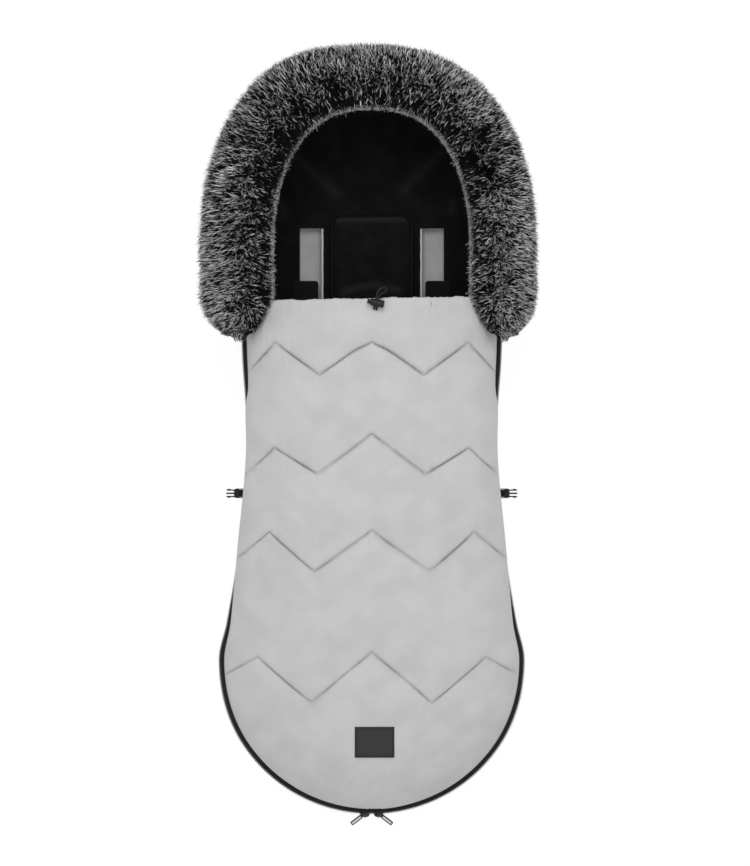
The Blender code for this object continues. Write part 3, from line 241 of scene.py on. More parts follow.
def plain_cloth_finish(name, dark, pale, pitch):
    """Woven cloth with threads a pitch apart, on the piece's own UV map."""
    cloth = Finish(name, 0.82, Sheen_Weight=0.15, Specular_IOR_Level=0.25)
    weave = cloth.weave(pitch)
    tone = cloth.noise(0.03, detail=4.0).between(0.3, 0.7) * 0.6 + weave * 0.4
    cloth.give(Base_Color=cloth.mix(tone, dark, pale))
    cloth.bump(cloth.noise(0.014, detail=4.0) * 0.8 + weave * 0.2, 0.0009, 0.7)
    return cloth


def fleece_finish():
    """Short black pile, combed into small tufts, with the crests of its folds painted lighter as highlights."""
    fleece = Finish("black_fleece_pile", 1.0, Sheen_Weight=0.05, Sheen_Roughness=0.5, Specular_IOR_Level=0.05)
    tufts = fleece.cells(0.0028)
    fuzz = fleece.noise(0.0009, detail=4.0, roughness=0.7)
    brushed = fleece.noise(0.022).between(0.35, 0.7)
    pile = fleece.mix(fuzz * 0.6 + brushed * 0.4, (0.0038, 0.0039, 0.0043), (0.0118, 0.0119, 0.0127))
    # Fold crests, given in an attribute, are painted lighter: a painted highlight
    fleece.give(Base_Color=fleece.mix(fleece.attribute("brushed") * 0.8, pile, (0.022, 0.022, 0.023)))
    fleece.bump(tufts * 0.3 + fuzz * 0.5 + brushed * 0.8, 0.0008, 0.6)
    return fleece


def webbing_finish(name, colour, worn, pitch=0.0011):
    """Ribbed woven tape on Object coordinates."""
    tape = Finish(name, 0.8, Specular_IOR_Level=0.12)
    ribs = tape.crossing(tape.place(), pitch)
    fuzz = tape.noise(0.0012)
    tape.give(Base_Color=tape.mix(fuzz.between(0.35, 0.75), colour, worn))
    tape.bump(ribs * 0.5 + fuzz * 0.5, 0.00035)
    return tape


def plastic_finish():
    """Moulded black acetal: a fine spark-eroded grain, worn shinier in patches."""
    plastic = Finish("black_moulded_plastic", 0.38, Specular_IOR_Level=0.22)
    grain, handled = plastic.noise(0.0005, detail=2.0), plastic.noise(0.006)
    colour = plastic.mix(handled, (0.005, 0.005, 0.0055), (0.013, 0.013, 0.0135))
    plastic.give(Base_Color=colour, Roughness=0.30 + handled * 0.22)
    plastic.bump(grain, 0.00006)
    return plastic


def metal_finish(name, colour, worn, roughness):
    """Plated die-cast metal with fine scuffs."""
    metal = Finish(name, roughness, Metallic=1.0)
    scuffs = metal.noise(0.0016, detail=5.0, roughness=0.7)
    rubbed = metal.noise(0.005, detail=2.0).between(0.4, 0.65)
    metal.give(Base_Color=metal.mix(rubbed, colour, worn), Roughness=roughness * 0.7 + scuffs * 0.28)
    metal.bump(scuffs, 0.00005)
    return metal


def braid_finish():
    """Round braided cord: two sets of strands that cross round it, on the cord's UV map."""
    cord = Finish("black_braid", 0.7, Specular_IOR_Level=0.3)
    vector = cord.place("UV")
    round_it, along = cord.part(vector, 0) * (2 * PI * 6), cord.part(vector, 1) * (2 * PI / 0.0026)
    strands = (round_it + along).wave() * (round_it - along).wave()
    fuzz = cord.noise(0.0006, detail=2.0)
    cord.give(Base_Color=cord.mix(strands.between(-0.6, 0.8), (0.006, 0.006, 0.007), (0.045, 0.045, 0.047)))
    cord.bump(strands * 0.5 + fuzz * 0.4, 0.00035)
    return cord


def fur_finish():
    """Hair by hair: near black at the root, with tips frosted white and grey."""
    hair = Finish("frosted_fur_hair", 0.7, Specular_IOR_Level=0.1)
    tip, frost = hair.attribute("tip"), hair.attribute("frost")
    shade = hair.node(
        "ShaderNodeValToRGB",
        {"stops": ((0.0, (0.002, 0.002, 0.002)), (0.67, (0.006, 0.006, 0.006)), (0.83, (0.38, 0.375, 0.37)),
                   (0.97, (0.98, 0.97, 0.96)))},
        {"Fac": tip * frost},
    )
    hair.give(Base_Color=shade)
    return hair


def fur_core_finish():
    """Dense dark underfur."""
    core = Finish("dark_underfur", 1.0, Specular_IOR_Level=0.1)
    tufts = core.noise(0.004, detail=5.0, roughness=0.7)
    core.give(Base_Color=core.mix(tufts, (0.003, 0.003, 0.003), (0.02, 0.02, 0.02)))
    core.bump(tufts, 0.003)
    return core


def label_finish():
    """Damask-woven charcoal label with a darker stitched border; it is bare."""
    label = Finish("charcoal_label_weave", 0.8, Specular_IOR_Level=0.2)
    edge = label.attribute("edge_gap")
    ribs = (label.part(label.place("UV"), 1) * (PI / 0.0006)).wave()
    fuzz = label.noise(0.0012)
    base = label.mix(fuzz.between(0.3, 0.7), (0.034, 0.034, 0.035), (0.048, 0.048, 0.049))
    border = edge.between(0.0018, 0.0022) * (1 - edge.between(0.0030, 0.0034))
    label.give(Base_Color=label.mix(border * 0.6, base, (0.014, 0.014, 0.015)))
    label.bump(ribs * 0.3 + fuzz * 0.4 - border * 0.8, 0.0003)
    return label


def grip_finish():
    """Pale satin face with painted shade along its rim, for the pulls' grips."""
    grip = Finish("satin_pull_grip", 0.4, Metallic=0.6)
    # The dark rim is painted shade along the grip's edges
    rim = 1 - grip.attribute("edge_gap").between(0.0013, 0.0018)
    scuffs = grip.noise(0.0015, detail=4.0)
    face = grip.mix(scuffs, (0.42, 0.42, 0.42), (0.58, 0.58, 0.58))
    grip.give(Base_Color=grip.mix(rim, face, (0.006, 0.006, 0.006)))
    grip.bump(scuffs, 0.00005)
    return grip


def teeth_finish():
    """Moulded nylon teeth, glossy on their heads."""
    teeth = Finish("black_nylon_teeth", 0.4, Specular_IOR_Level=0.5)
    scuffs = teeth.noise(0.0012)
    colour = teeth.mix(scuffs, (0.022, 0.022, 0.023), (0.060, 0.060, 0.062))
    teeth.give(Base_Color=colour, Roughness=0.3 + scuffs * 0.3)
    teeth.bump(scuffs, 0.00008)
    return teeth


def clear_selection():
    if bpy.context.object and bpy.context.object.mode != "OBJECT":
        bpy.ops.object.mode_set(mode="OBJECT")
    bpy.ops.object.select_all(action="DESELECT")


def alone(obj):
    clear_selection()
    obj.select_set(True)
    bpy.context.view_layer.objects.active = obj


def added(primitive, name, **options):
    """A new object from a mesh primitive, under its own name."""
    clear_selection()
    primitive(**options)
    obj = bpy.context.object
    obj.name = obj.data.name = name
    return obj


def linked(name, mesh):
    """A new object for a mesh, in the scene."""
    obj = bpy.data.objects.new(name, mesh)
    bpy.context.scene.collection.objects.link(obj)
    return obj


def read(rows, key, width):
    """What each row of a mesh's data says under a key."""
    values = np.empty(len(rows) * width)
    rows.foreach_get(key, values)
    return values.reshape(-1, width)


def coordinates(obj):
    return read(obj.data.vertices, "co", 3)


def move_points(obj, points):
    obj.data.vertices.foreach_set("co", np.ascontiguousarray(points, dtype=float).ravel())
    obj.data.update()


def give_values(obj, **grids):
    """Writes a number for each point of the mesh as a named attribute."""
    for name, values in grids.items():
        layer = obj.data.attributes.get(name) or obj.data.attributes.new(name, "FLOAT", "POINT")
        layer.data.foreach_set("value", np.ascontiguousarray(values, dtype=float))


def read_values(obj, name):
    return read(obj.data.attributes[name].data, "value", 1)[:, 0]


def set_all(target, **settings):
    for key, value in settings.items():
        setattr(target, key, value)


def apply_modifier(obj, kind, **settings):
    alone(obj)
    modifier = obj.modifiers.new(kind.lower(), kind)
    set_all(modifier, **settings)
    bpy.ops.object.modifier_apply(modifier=modifier.name)


def subdivided(obj):
    apply_modifier(obj, "SUBSURF", levels=1, render_levels=1)


def in_edit_mode(obj, *steps):
    """Runs mesh operators on all of the piece: each step is an operator and its options."""
    alone(obj)
    bpy.ops.object.mode_set(mode="EDIT")
    bpy.ops.mesh.select_mode(type="EDGE")
    bpy.ops.mesh.select_all(action="SELECT")
    for operator, options in steps:
        operator(**options)
    bpy.ops.object.mode_set(mode="OBJECT")
    return obj


def outward_normals(obj, fill=True):
    """Merges the points that meet, fills the ends and turns all faces outwards."""
    steps = [(bpy.ops.mesh.remove_doubles, {"threshold": 1e-6})]
    if fill:
        steps.append((bpy.ops.mesh.fill_holes, {"sides": 0}))
        steps.append((bpy.ops.mesh.select_all, {"action": "SELECT"}))
    steps.append((bpy.ops.mesh.normals_make_consistent, {"inside": False}))
    return in_edit_mode(obj, *steps)


def smooth(obj, angle=None):
    alone(obj)
    if angle is None:
        bpy.ops.object.shade_smooth()
    else:
        bpy.ops.object.shade_smooth_by_angle(angle=math.radians(angle))


def joined(first, *others):
    alone(first)
    for other in others:
        other.select_set(True)
    bpy.ops.object.join()
    return first


def fuller_foot(obj):
    """Swells the foot a little towards the toe, as in the photograph."""
    points = coordinates(obj)
    away = np.stack((points[:, 0], points[:, 1] - FOOT_Y), axis=1) / FOOT_RADIUS
    share = np.linalg.norm(away, axis=1, keepdims=True)
    points[:, :2] += FOOT_SWELL * away * share * smoothstep(-away[:, 1], 0.0, 0.55)[:, None]
    move_points(obj, points)


def finished(obj, finish, body=None, replaces=(), angle=None):
    """Puts the finish on a piece and tells the frame what it rides on and stands for."""
    if body in (None, "body"):
        fuller_foot(obj)
    smooth(obj, angle)
    obj.data.materials.clear()
    obj.data.materials.append(finish.material)
    if body:
        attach(obj, body)
    if replaces:
        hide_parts(*replaces)


def unit(vectors, least=0.0):
    """The vectors at a length of 1."""
    return vectors / np.maximum(np.linalg.norm(vectors, axis=-1, keepdims=True), least)


def run_along(line):
    """Distance of each of a line's points from its first, along it."""
    return np.concatenate(([0.0], np.cumsum(np.linalg.norm(np.diff(line, axis=0), axis=1))))


def sampled(at, run, line):
    """What a line says at distances along it."""
    return np.stack([np.interp(at, run, way) for way in line.T], axis=-1)


def bell(value, width, middle=0.0):
    """1 where the value is at the middle, and near 0 two widths away from it."""
    return np.exp(-((value - middle) / width) ** 2)


def lengths_along(points, axis):
    """Distance along each line of a grid of points, from its first point."""
    steps = np.linalg.norm(np.diff(points, axis=axis), axis=2)
    first = np.zeros_like(np.take(steps, [0], axis=axis))
    return np.concatenate((first, np.cumsum(steps, axis=axis)), axis=axis)


def surface(name, points, **grids):
    """A grid primitive with each point moved to its place, and a UV map in metres along the cloth."""
    rows, columns = points.shape[:2]
    obj = added(bpy.ops.mesh.primitive_grid_add, name, size=1.0, x_subdivisions=columns - 1,
                y_subdivisions=rows - 1)
    flat = coordinates(obj)
    column = np.rint((flat[:, 0] + 0.5) * (columns - 1)).astype(int)
    row = np.rint((flat[:, 1] + 0.5) * (rows - 1)).astype(int)
    move_points(obj, points[row, column])
    across, along = lengths_along(points, 1), lengths_along(points, 0)
    across = across - across[:, columns // 2:columns // 2 + 1]
    corners = np.empty(len(obj.data.loops), dtype=int)
    obj.data.loops.foreach_get("vertex_index", corners)
    uv = np.stack((across[row, column], along[row, column]), axis=1)[corners]
    obj.data.uv_layers.active.data.foreach_set("uv", uv.ravel())
    give_values(obj, **{key: grid[row, column] for key, grid in grids.items()})
    return obj


def slab(name, front, back):
    """A closed sheet between two grids of points, bridged along their borders."""
    obj = joined(surface(name, front), surface(name + "_inside", back[:, ::-1]))
    return in_edit_mode(
        obj,
        (bpy.ops.mesh.select_all, {"action": "DESELECT"}),
        (bpy.ops.mesh.select_non_manifold, {"extend": False}),
        (bpy.ops.mesh.bridge_edge_loops, {}),
        (bpy.ops.mesh.select_all, {"action": "SELECT"}),
        (bpy.ops.mesh.normals_make_consistent, {"inside": False}),
    )


def tube(name, rings, closed=False):
    """A closed body through rings of points, its ends filled unless the rings close on themselves."""
    points = np.concatenate((rings, rings[:, :1]), axis=1)
    if closed:
        points = np.concatenate((points, points[:1]), axis=0)
    return outward_normals(surface(name, points), fill=not closed)


def copies(name, source, places):
    """One mesh of many copies of the source, each at the matrix of its place. The source goes."""
    points = coordinates(source)
    faces = [tuple(face.vertices) for face in source.data.polygons]
    placed = np.einsum("nij,vj->nvi", places[:, :3, :3], points) + places[:, None, :3, 3]
    all_faces = [tuple(i + n * len(points) for i in face) for n in range(len(places)) for face in faces]
    mesh = bpy.data.meshes.new(name)
    mesh.from_pydata(placed.reshape(-1, 3).tolist(), [], all_faces)
    bpy.data.objects.remove(source, do_unlink=True)
    return linked(name, mesh)


def frames_along(line, up, pitch, start):
    """Matrices a pitch apart along a line, with X along it and Z towards up."""
    run, reach = run_along(line), 0.0004
    at = np.arange(start, run[-1], pitch)
    along = unit(sampled(at + reach, run, line) - sampled(at - reach, run, line))
    side = unit(np.cross(sampled(at, run, up), along))
    places = np.zeros((len(at), 4, 4))
    places[:, :3] = np.stack((along, side, np.cross(along, side), sampled(at, run, line)), axis=-1)
    places[:, 3, 3] = 1.0
    return places


def stitches(name, line, up, finish, pitch=0.0036, length=0.0028, width=0.0007):
    """A row of stitches along a line: short rounded rods of thread that dive at both ends."""
    rod = {"segments": 6, "ring_count": 5, "radius": 0.5, "rotation": (0, PI / 2, 0)}
    stitch = added(bpy.ops.mesh.primitive_uv_sphere_add, "stitch", **rod)
    bpy.ops.object.transform_apply(location=False, rotation=True, scale=False)
    points = coordinates(stitch) * (length, width, width)
    points[:, 2] -= (points[:, 0] / length) ** 2 * width * 1.4
    move_points(stitch, points)
    finished(copies(name, stitch, frames_along(line, up, pitch, pitch / 2)), finish, "body")


def weigh(obj, name, weights):
    """A vertex group with weights in steps of a tenth."""
    group = obj.vertex_groups.new(name=name)
    levels = np.round(weights, 1)
    for level in np.unique(levels):
        group.add(np.nonzero(levels == level)[0].tolist(), float(level), "REPLACE")


def inflated(obj, pins, cap, pressure=4.0, last=20):
    """Swells a padded piece with a cloth simulation; no point moves further than the cap."""
    before = coordinates(obj)
    alone(obj)
    weigh(obj, "sewn", pins)
    cloth = obj.modifiers.new("cloth", "CLOTH")
    set_all(cloth.settings, vertex_group_mass="sewn", quality=6, mass=0.3, tension_stiffness=20,
            compression_stiffness=20, shear_stiffness=12, bending_stiffness=1.0, use_pressure=True,
            uniform_pressure_force=pressure)
    set_all(cloth.settings.effector_weights, gravity=0.0)
    set_all(cloth.collision_settings, use_collision=False, use_self_collision=False)
    set_all(cloth.point_cache, frame_start=1, frame_end=last)
    for number in range(1, last + 1):
        bpy.context.scene.frame_set(number)
    bpy.ops.object.modifier_apply(modifier=cloth.name)
    bpy.context.scene.frame_set(1)
    move = coordinates(obj) - before
    size = np.linalg.norm(move, axis=1, keepdims=True)
    move_points(obj, before + move * (cap * np.tanh(size / cap) / np.maximum(size, 1e-9)))
    obj.vertex_groups.clear()


def smoothstep(value, low, high):
    t = np.clip((value - low) / (high - low), 0.0, 1.0)
    return t * t * (3 - 2 * t)


def ripples(seed, *coordinates_and_sizes):
    """Seeded smooth noise from -1 to 1 over coordinates, each with the size of its ripples."""
    draw = np.random.default_rng(seed)
    total, count = 0.0, 9
    for _ in range(count):
        phase = draw.uniform(0, 2 * PI)
        for values, size in coordinates_and_sizes:
            phase = phase + values * (2 * PI / size) * draw.uniform(0.5, 1.5) * draw.choice((-1, 1))
        total = total + np.sin(phase)
    return np.clip(total / count * 1.6, -1, 1)


def smooth_through(stations, y):
    """Value at y of a smooth curve through (y, value) stations, level at both ends."""
    ys, values = np.array(stations).T
    slopes = np.zeros(len(ys))
    slopes[1:-1] = (values[2:] - values[:-2]) / (ys[2:] - ys[:-2])
    i = np.clip(np.searchsorted(ys, y) - 1, 0, len(ys) - 2)
    span = ys[i + 1] - ys[i]
    t = np.clip((y - ys[i]) / span, 0.0, 1.0)
    rise = values[i] * (2 * t**3 - 3 * t**2 + 1) + values[i + 1] * (3 * t**2 - 2 * t**3)
    return rise + span * (slopes[i] * (t**3 - 2 * t**2 + t) + slopes[i + 1] * (t**3 - t**2))


def side_half_width(y):
    return smooth_through(SIDE_STATIONS, y)


def cover_inset(y):
    return smooth_through(INSET_STATIONS, y)


def foot_arc(steps):
    angles = np.linspace(-PI / 2, 0, steps + 1)
    return np.stack((FOOT_RADIUS * np.cos(angles), FOOT_Y + FOOT_RADIUS * np.sin(angles)), axis=1)


def side_line(low, high, steps):
    ys = np.linspace(low, high, steps + 1)
    return np.stack((side_half_width(ys), ys), axis=1)


def head_arch(steps):
    angles = np.linspace(0, PI / 2, steps + 1)
    power = 2 / HEAD_POWER
    across = NECK_HALF * np.maximum(np.cos(angles), 0) ** power
    return np.stack((across, NECK_Y + HEAD_RISE * np.sin(angles) ** power), axis=1)


def evenly(line, step):
    """The same line with points about a step apart."""
    run = run_along(line)
    return sampled(np.linspace(0, run[-1], int(round(run[-1] / step)) + 1), run, line)


def mirrored(half, ends_meet="high"):
    """A whole anticlockwise line from its half on the +X side, which runs from -Y to +Y."""
    left = half[::-1] * (-1, 1)
    return np.concatenate((left[:-1], half) if ends_meet == "low" else (half, left[1:]))


def directions(line, closed=False):
    """Unit direction of a line at each of its points."""
    if closed:
        return unit(np.roll(line, -1, axis=0) - np.roll(line, 1, axis=0))
    return unit(np.gradient(line, axis=0))


def outward(line, closed=False):
    """Unit normal in plan at each point of an anticlockwise line, pointing outwards."""
    along = directions(line, closed)
    return np.stack((along[:, 1], -along[:, 0]), axis=1)


def at_height(plan, z):
    return np.concatenate((plan, np.full((len(plan), 1), z) if np.isscalar(z) else z[:, None]), axis=1)


def cover_place(share, y, lift=0.0, depth=0.0):
    """Points of the cover at a share of its half width, lifted by the quilting, depth below its face."""
    radius = COVER_RADIUS - depth
    foot = y < FOOT_Y
    y = np.where(foot, FOOT_Y + (y - FOOT_Y) * radius / COVER_RADIUS, y)
    in_foot = np.sqrt(np.maximum(radius**2 - (FOOT_Y - y) ** 2, 0))
    half = np.where(foot, in_foot, side_half_width(y) - cover_inset(y) - depth)
    x = share * half
    from_middle = np.where(foot, np.minimum(np.hypot(x, y - FOOT_Y) / radius, 1.0), np.abs(share))
    height = np.maximum(1 - from_middle**CROWN_ROUND, 0) ** (1 / CROWN_FALL)
    z = COVER_BASE_Z + (COVER_CROWN - depth) * height + lift * height
    return np.stack(np.broadcast_arrays(x, y, z), axis=-1)


def seam_y(index, share):
    arch = CHEST_ARCH * bell(share, 0.09) if index == 0 else 0.0
    return np.interp(np.abs(share), SEAM_SHARES, SEAMS[index]) - arch


def hem_line(share):
    tilt = HEM_TILT * np.sin(share * PI / 2)
    return HEM_Y + tilt + (HEM_CORNER_Y - HEM_Y) * np.maximum(np.abs(share) - HEM_FLAT, 0) / (1 - HEM_FLAT)


def cover_shares(first=12, second=11, last=13):
    """Shares of the half width, closer together towards the steep sides, with the seams' corners among them."""
    inner, outer = SEAM_SHARES[1:3]
    half = np.concatenate((
        np.linspace(0, inner, first + 1),
        np.linspace(inner, outer, second + 1)[1:],
        outer + (1 - outer) * np.sin(np.linspace(0, PI / 2, last + 1)[1:]),
    ))
    return np.concatenate((-half[:0:-1], half))


def cover_lines(shares, pull=0.7, top=None):
    """y of each row of the cover at each share, from toe to hem, and its place between two seams."""
    t, half = np.linspace(0, 1, ROWS_PER_PUFF + 1), np.linspace(0, 1, ROWS_PER_PUFF // 2 + 1)
    whole = t - pull * np.sin(2 * PI * t) / (2 * PI)
    from_seam = half - pull * np.sin(PI * half) / PI
    first, second, third, fourth = (seam_y(i, shares) for i in range(4))
    fold = np.full_like(shares, FOLD_Y)
    middle = sum(SEAMS[3][:3]) / 3
    low_angle, high_angle = math.asin((FOOT_Y - middle) / COVER_RADIUS), math.radians(86)
    lines, puffs = [], []

    def stretch(start, end, places, puff_from, puff_to):
        for s in places:
            lines.append(start * (1 - s) + end * s)
            puffs.append(puff_from + (puff_to - puff_from) * s)

    for s in whole[:0:-1]:
        toe = FOOT_Y - COVER_RADIUS * math.sin(low_angle + (high_angle - low_angle) * s)
        lines.append(toe + (fourth - middle) * (1 - s) ** 2)
        puffs.append(s)
    stretch(fourth, third, whole[:-1], 0, 1)
    stretch(third, fold, from_seam[:-1], 0, 0.5)
    stretch(fold, second, 1 - from_seam[::-1][:-1], 0.5, 1)
    stretch(second, first, whole[:-1], 0, 1)
    stretch(first, hem_line(shares) - CASING_WIDTH if top is None else top, half**1.4, 0, 0.95)
    return np.array(lines), np.array(puffs)


def seam_stretch(share):
    """Which of a seam's three stretches each share lies on, from the middle outwards."""
    return np.clip(np.searchsorted(SEAM_SHARES, np.abs(share)) - 1, 0, 2)


def seam_gaps(share, y):
    """Signed distance from the nearest quilting seam, the place along it, and which seam it is."""
    half = np.maximum(side_half_width(np.maximum(y, FOOT_Y)), 0.05)
    slopes = np.diff(SEAMS) / np.diff(SEAM_SHARES)
    tilts = np.arctan(slopes[:, seam_stretch(share)] / half)
    gaps = np.array([(y - seam_y(row, share)) * np.cos(tilt) for row, tilt in enumerate(tilts)])
    nearest = np.abs(gaps).argmin(axis=0)
    return np.take_along_axis(gaps, nearest[None], axis=0)[0], share * half * 1.25, nearest


def build_cover(finish):
    """The quilted cover in one padded piece: swollen between its sewn seams, then drawn in along them."""
    shares = cover_shares()
    lines, puffs = cover_lines(shares)
    band = np.linspace(0, 1, 12)[1:]
    wander = 0.0008 * ripples(3, (shares, 0.16))
    hem = hem_line(shares) + wander
    lines = np.concatenate((lines, hem - CASING_WIDTH * (1 - np.sin(band * PI / 2)[:, None])))
    puffs = np.concatenate((puffs, np.full(len(band), 0.95)))
    grid = np.broadcast_to(shares, lines.shape)
    start = 0.55
    lift = PUFF * start * np.sin(PI * puffs)[:, None] ** 0.6
    rolled = np.concatenate((np.zeros(len(puffs) - len(band)), band))
    lift = lift - 0.0052 * (1 - np.sqrt(1 - np.clip((rolled - 0.35) / 0.65, 0, 1) ** 2))[:, None]
    points = cover_place(grid, lines, lift)
    height = (points[..., 2] - COVER_BASE_Z) / COVER_CROWN
    pins = np.clip(1.6 - height * 3.0, 0, 1)
    pins[(puffs == 0) | (puffs == 1) | (rolled > 0)] = 1
    pins[0] = 1
    thin = np.broadcast_to(rolled[:, None], pins.shape)
    cover = surface("quilted_cover", points, share=grid, pins=pins, rolled=thin)
    inflated(cover, read_values(cover, "pins"), 0.0065)
    subdivided(cover)
    share, y = read_values(cover, "share"), coordinates(cover)[:, 1]
    gap, run, nearest = seam_gaps(share, y)
    near = bell(gap, 0.0017)
    out, (inner, outer) = np.abs(share), SEAM_SHARES[1:3]
    corner = bell(out, 0.10, inner) + 0.6 * bell(out, 0.08, outer)
    # How plainly the painted shade along the nearest seam shows here
    slope = np.minimum(np.abs(out[:, None] - SEAM_SHARES).min(axis=1) / 0.10, 1.0)
    slope = slope * np.array(SEAM_STRENGTHS)[nearest, seam_stretch(share)]
    pucker = ripples(5, (run, 0.013), (gap, 0.20)) * np.exp(-(np.abs(gap) / 0.013)) * (0.25 + 0.9 * corner)
    slack = ripples(8, (run, 0.07), (y, 0.045)) * (1 - near)
    hem_gap = hem_line(share) - CASING_WIDTH - y
    gathers = ripples(11, (run, 0.012), (y, 0.30)) * np.exp(-np.maximum(hem_gap, 0) / 0.020)
    nicks = -np.maximum(ripples(13, (run, 0.0095)) - 0.2, 0)
    nicks = nicks * np.exp(-np.maximum(hem_line(share) - y, 0) / 0.0045)
    move = -0.0019 * near + 0.0016 * pucker + 0.0008 * slack + 0.0006 * gathers + 0.0016 * nicks
    move = (move * smoothstep(1 - out, 0.0, 0.04))[:, None]
    move_points(cover, coordinates(cover) + read(cover.data.vertex_normals, "vector", 3) * move)
    give_values(cover, seam_gap=np.abs(gap), seam_run=run, seam_slope=slope)
    weigh(cover, "wadded", 1 - 0.88 * smoothstep(read_values(cover, "rolled"), 0.0, 0.6))
    apply_modifier(cover, "SOLIDIFY", thickness=QUILT_THICKNESS, offset=-1.0, use_even_offset=False,
                   vertex_group="wadded")
    finished(cover, finish, replaces=("cover_upper", "cover_lower"))
    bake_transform(cover)
    return cover


def build_cover_lining(finish):
    """Fleece inside the cover."""
    shares = cover_shares(9, 8, 11)
    lines, _ = cover_lines(shares, pull=0.0, top=hem_line(shares) - 0.004)
    grid = np.broadcast_to(shares, lines.shape)
    lining = slab("cover_lining", cover_place(grid, lines, 0, 0.0133), cover_place(grid, lines, 0, 0.0156))
    finished(lining, finish, replaces=("cover_upper_lining", "cover_lower_lining"))
    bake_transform(lining)


def casing_middle(share):
    y = hem_line(share) - CASING_WIDTH / 2
    middle = cover_place(share, y)
    middle[..., 2] += CASING_RISE - CASING_THICKNESS / 2
    return middle


CASING_TOP_Z = float(casing_middle(np.array(0.0))[2]) + CASING_THICKNESS / 2
LOCK_AXIS_Z = CASING_TOP_Z + TOUCH + LOCK_RADIUS


def build_casing(finish):
    """The gathered channel along the hem, through which the drawcord runs."""
    shares = np.sin(np.linspace(-1, 1, 261) * math.asin(CASING_REACH))
    middle = casing_middle(shares)[:, None]
    run, angles = middle[..., 0], np.linspace(0, 2 * PI, 25)[None, :-1]
    across, up = np.cos(angles), np.sin(angles)
    fold = ripples(21, (run, 0.011)) * 0.5 + ripples(22, (run, 0.006)) * 0.3
    fold = fold * (0.4 + 0.6 * np.abs(across)) + ripples(23, (run, 0.020), (angles, 9.0)) * 0.5
    swell = 1 + 0.13 * fold * smoothstep(CASING_REACH - np.abs(shares), 0, 0.03)[:, None]
    half_y = (CASING_WIDTH / 2 - 0.0012) * (0.96 + 0.04 * swell)
    half_z = (CASING_THICKNESS / 2 - 0.0012) * swell
    x = run + 0.0006 * ripples(24, (run, 0.012), (angles, 5.0))
    y = middle[..., 1] + half_y * (np.sign(across) * np.abs(across) ** 0.8)
    z = middle[..., 2] + half_z * (np.sign(up) * np.abs(up) ** 0.85)
    casing = tube("hem_casing_cloth", np.stack((x, y, z), axis=-1))
    finished(casing, finish, "cover_top", ("hem_casing",))


def build_drawcord(finish):
    """The drawcord's stretch inside the casing."""
    shares = np.linspace(-CASING_REACH, CASING_REACH, 61)
    cord = cord_tube("drawcord_in_casing", casing_middle(shares), CORD_DIAMETER / 2)
    finished(cord, finish, "cover_top", ("drawcord",))


def cord_tube(name, line, radius, sides=12, closed=False):
    """A round cord as a mesh tube along a line, with UV round it and, in metres, along it."""
    along = directions(line, closed)
    side = np.cross(along, (0.0, 0.0, 1.0))
    side[np.linalg.norm(side, axis=1) < 0.05] = (1.0, 0.0, 0.0)
    side = unit(side)
    for i in range(1, 0 if closed else len(side)):
        side[i] = unit(side[i - 1] - along[i] * side[i - 1].dot(along[i]))
    up = np.cross(side, along)
    angles = np.linspace(0, 2 * PI, sides + 1)[:-1, None]
    rings = line[:, None] + radius * (np.cos(angles) * side[:, None] + np.sin(angles) * up[:, None])
    return tube(name, rings, closed)


def smoothed(points, steps):
    line = []
    padded = [points[0]] + points + [points[-1]]
    for p0, p1, p2, p3 in zip(padded, padded[1:], padded[2:], padded[3:]):
        for i in range(steps):
            t = i / steps
            line.append(0.5 * (2 * p1 + (p2 - p0) * t + (2 * p0 - 5 * p1 + 4 * p2 - p3) * t**2
                               + (3 * p1 - 3 * p2 + p3 - p0) * t**3))
    return line + [points[-1]]


def loop_route():
    """The drawcord's loop, as in the part: up from the eyelet, through the lock, round its tip and back."""
    half, steps = CORD_SPACING / 2, 5
    start = CASING_TOP_Z - 0.0014 + TOUCH
    past_lock = LOCK_ALONG + LOCK_RADIUS + LOCK_TRAVEL
    left = [Vector((-half, 0.0, start))]
    for i in range(1, steps):
        a = PI / 2 * i / (steps - 1)
        left.append(Vector((-half, 0.005 * (1 - math.cos(a)), start + (LOCK_AXIS_Z - start) * math.sin(a))))
    left += [Vector((-half, LOCK_ALONG, LOCK_AXIS_Z)), Vector((-half, past_lock, LOCK_AXIS_Z))]
    right = [Vector((-p.x, p.y, p.z)) for p in left]
    lean, reach, sag, loop_half = math.radians(60), 0.0115, 0.002, 0.0033
    radius = reach / lean
    for i in range(1, steps + 1):
        t = i / steps
        centre = Vector((radius * (1 - math.cos(lean * t)), past_lock + radius * math.sin(lean * t)))
        across = Vector((math.cos(lean * t), -math.sin(lean * t)))
        width = half + (loop_half - half) * t
        left.append(Vector((*(centre - across * width), LOCK_AXIS_Z - sag * t * t)))
        right.append(Vector((*(centre + across * width), LOCK_AXIS_Z - sag * t * t)))
    onward = Vector((math.sin(lean), math.cos(lean)))
    tip = []
    for i in range(1, steps):
        a = PI * i / steps
        place = centre + (onward * math.sin(a) - across * math.cos(a)) * loop_half
        tip.append(Vector((*place, LOCK_AXIS_Z - sag)))
    placed = Matrix.Translation((EYELET_X, EYELET_Y, 0.0)) @ Matrix.Rotation(LOCK_TURN, 4, "Z")
    return [placed @ point for point in smoothed(left + tip + right[::-1], 2)]


def build_loop(finish):
    """The drawcord's loop, which stands out of the casing and through the cord lock."""
    route = [tuple(point) for point in loop_route()]
    loop = cord_tube("drawcord_loop_braid", np.array(route), CORD_DIAMETER / 2)
    finished(loop, finish, "cover_top", ("drawcord_loop",))


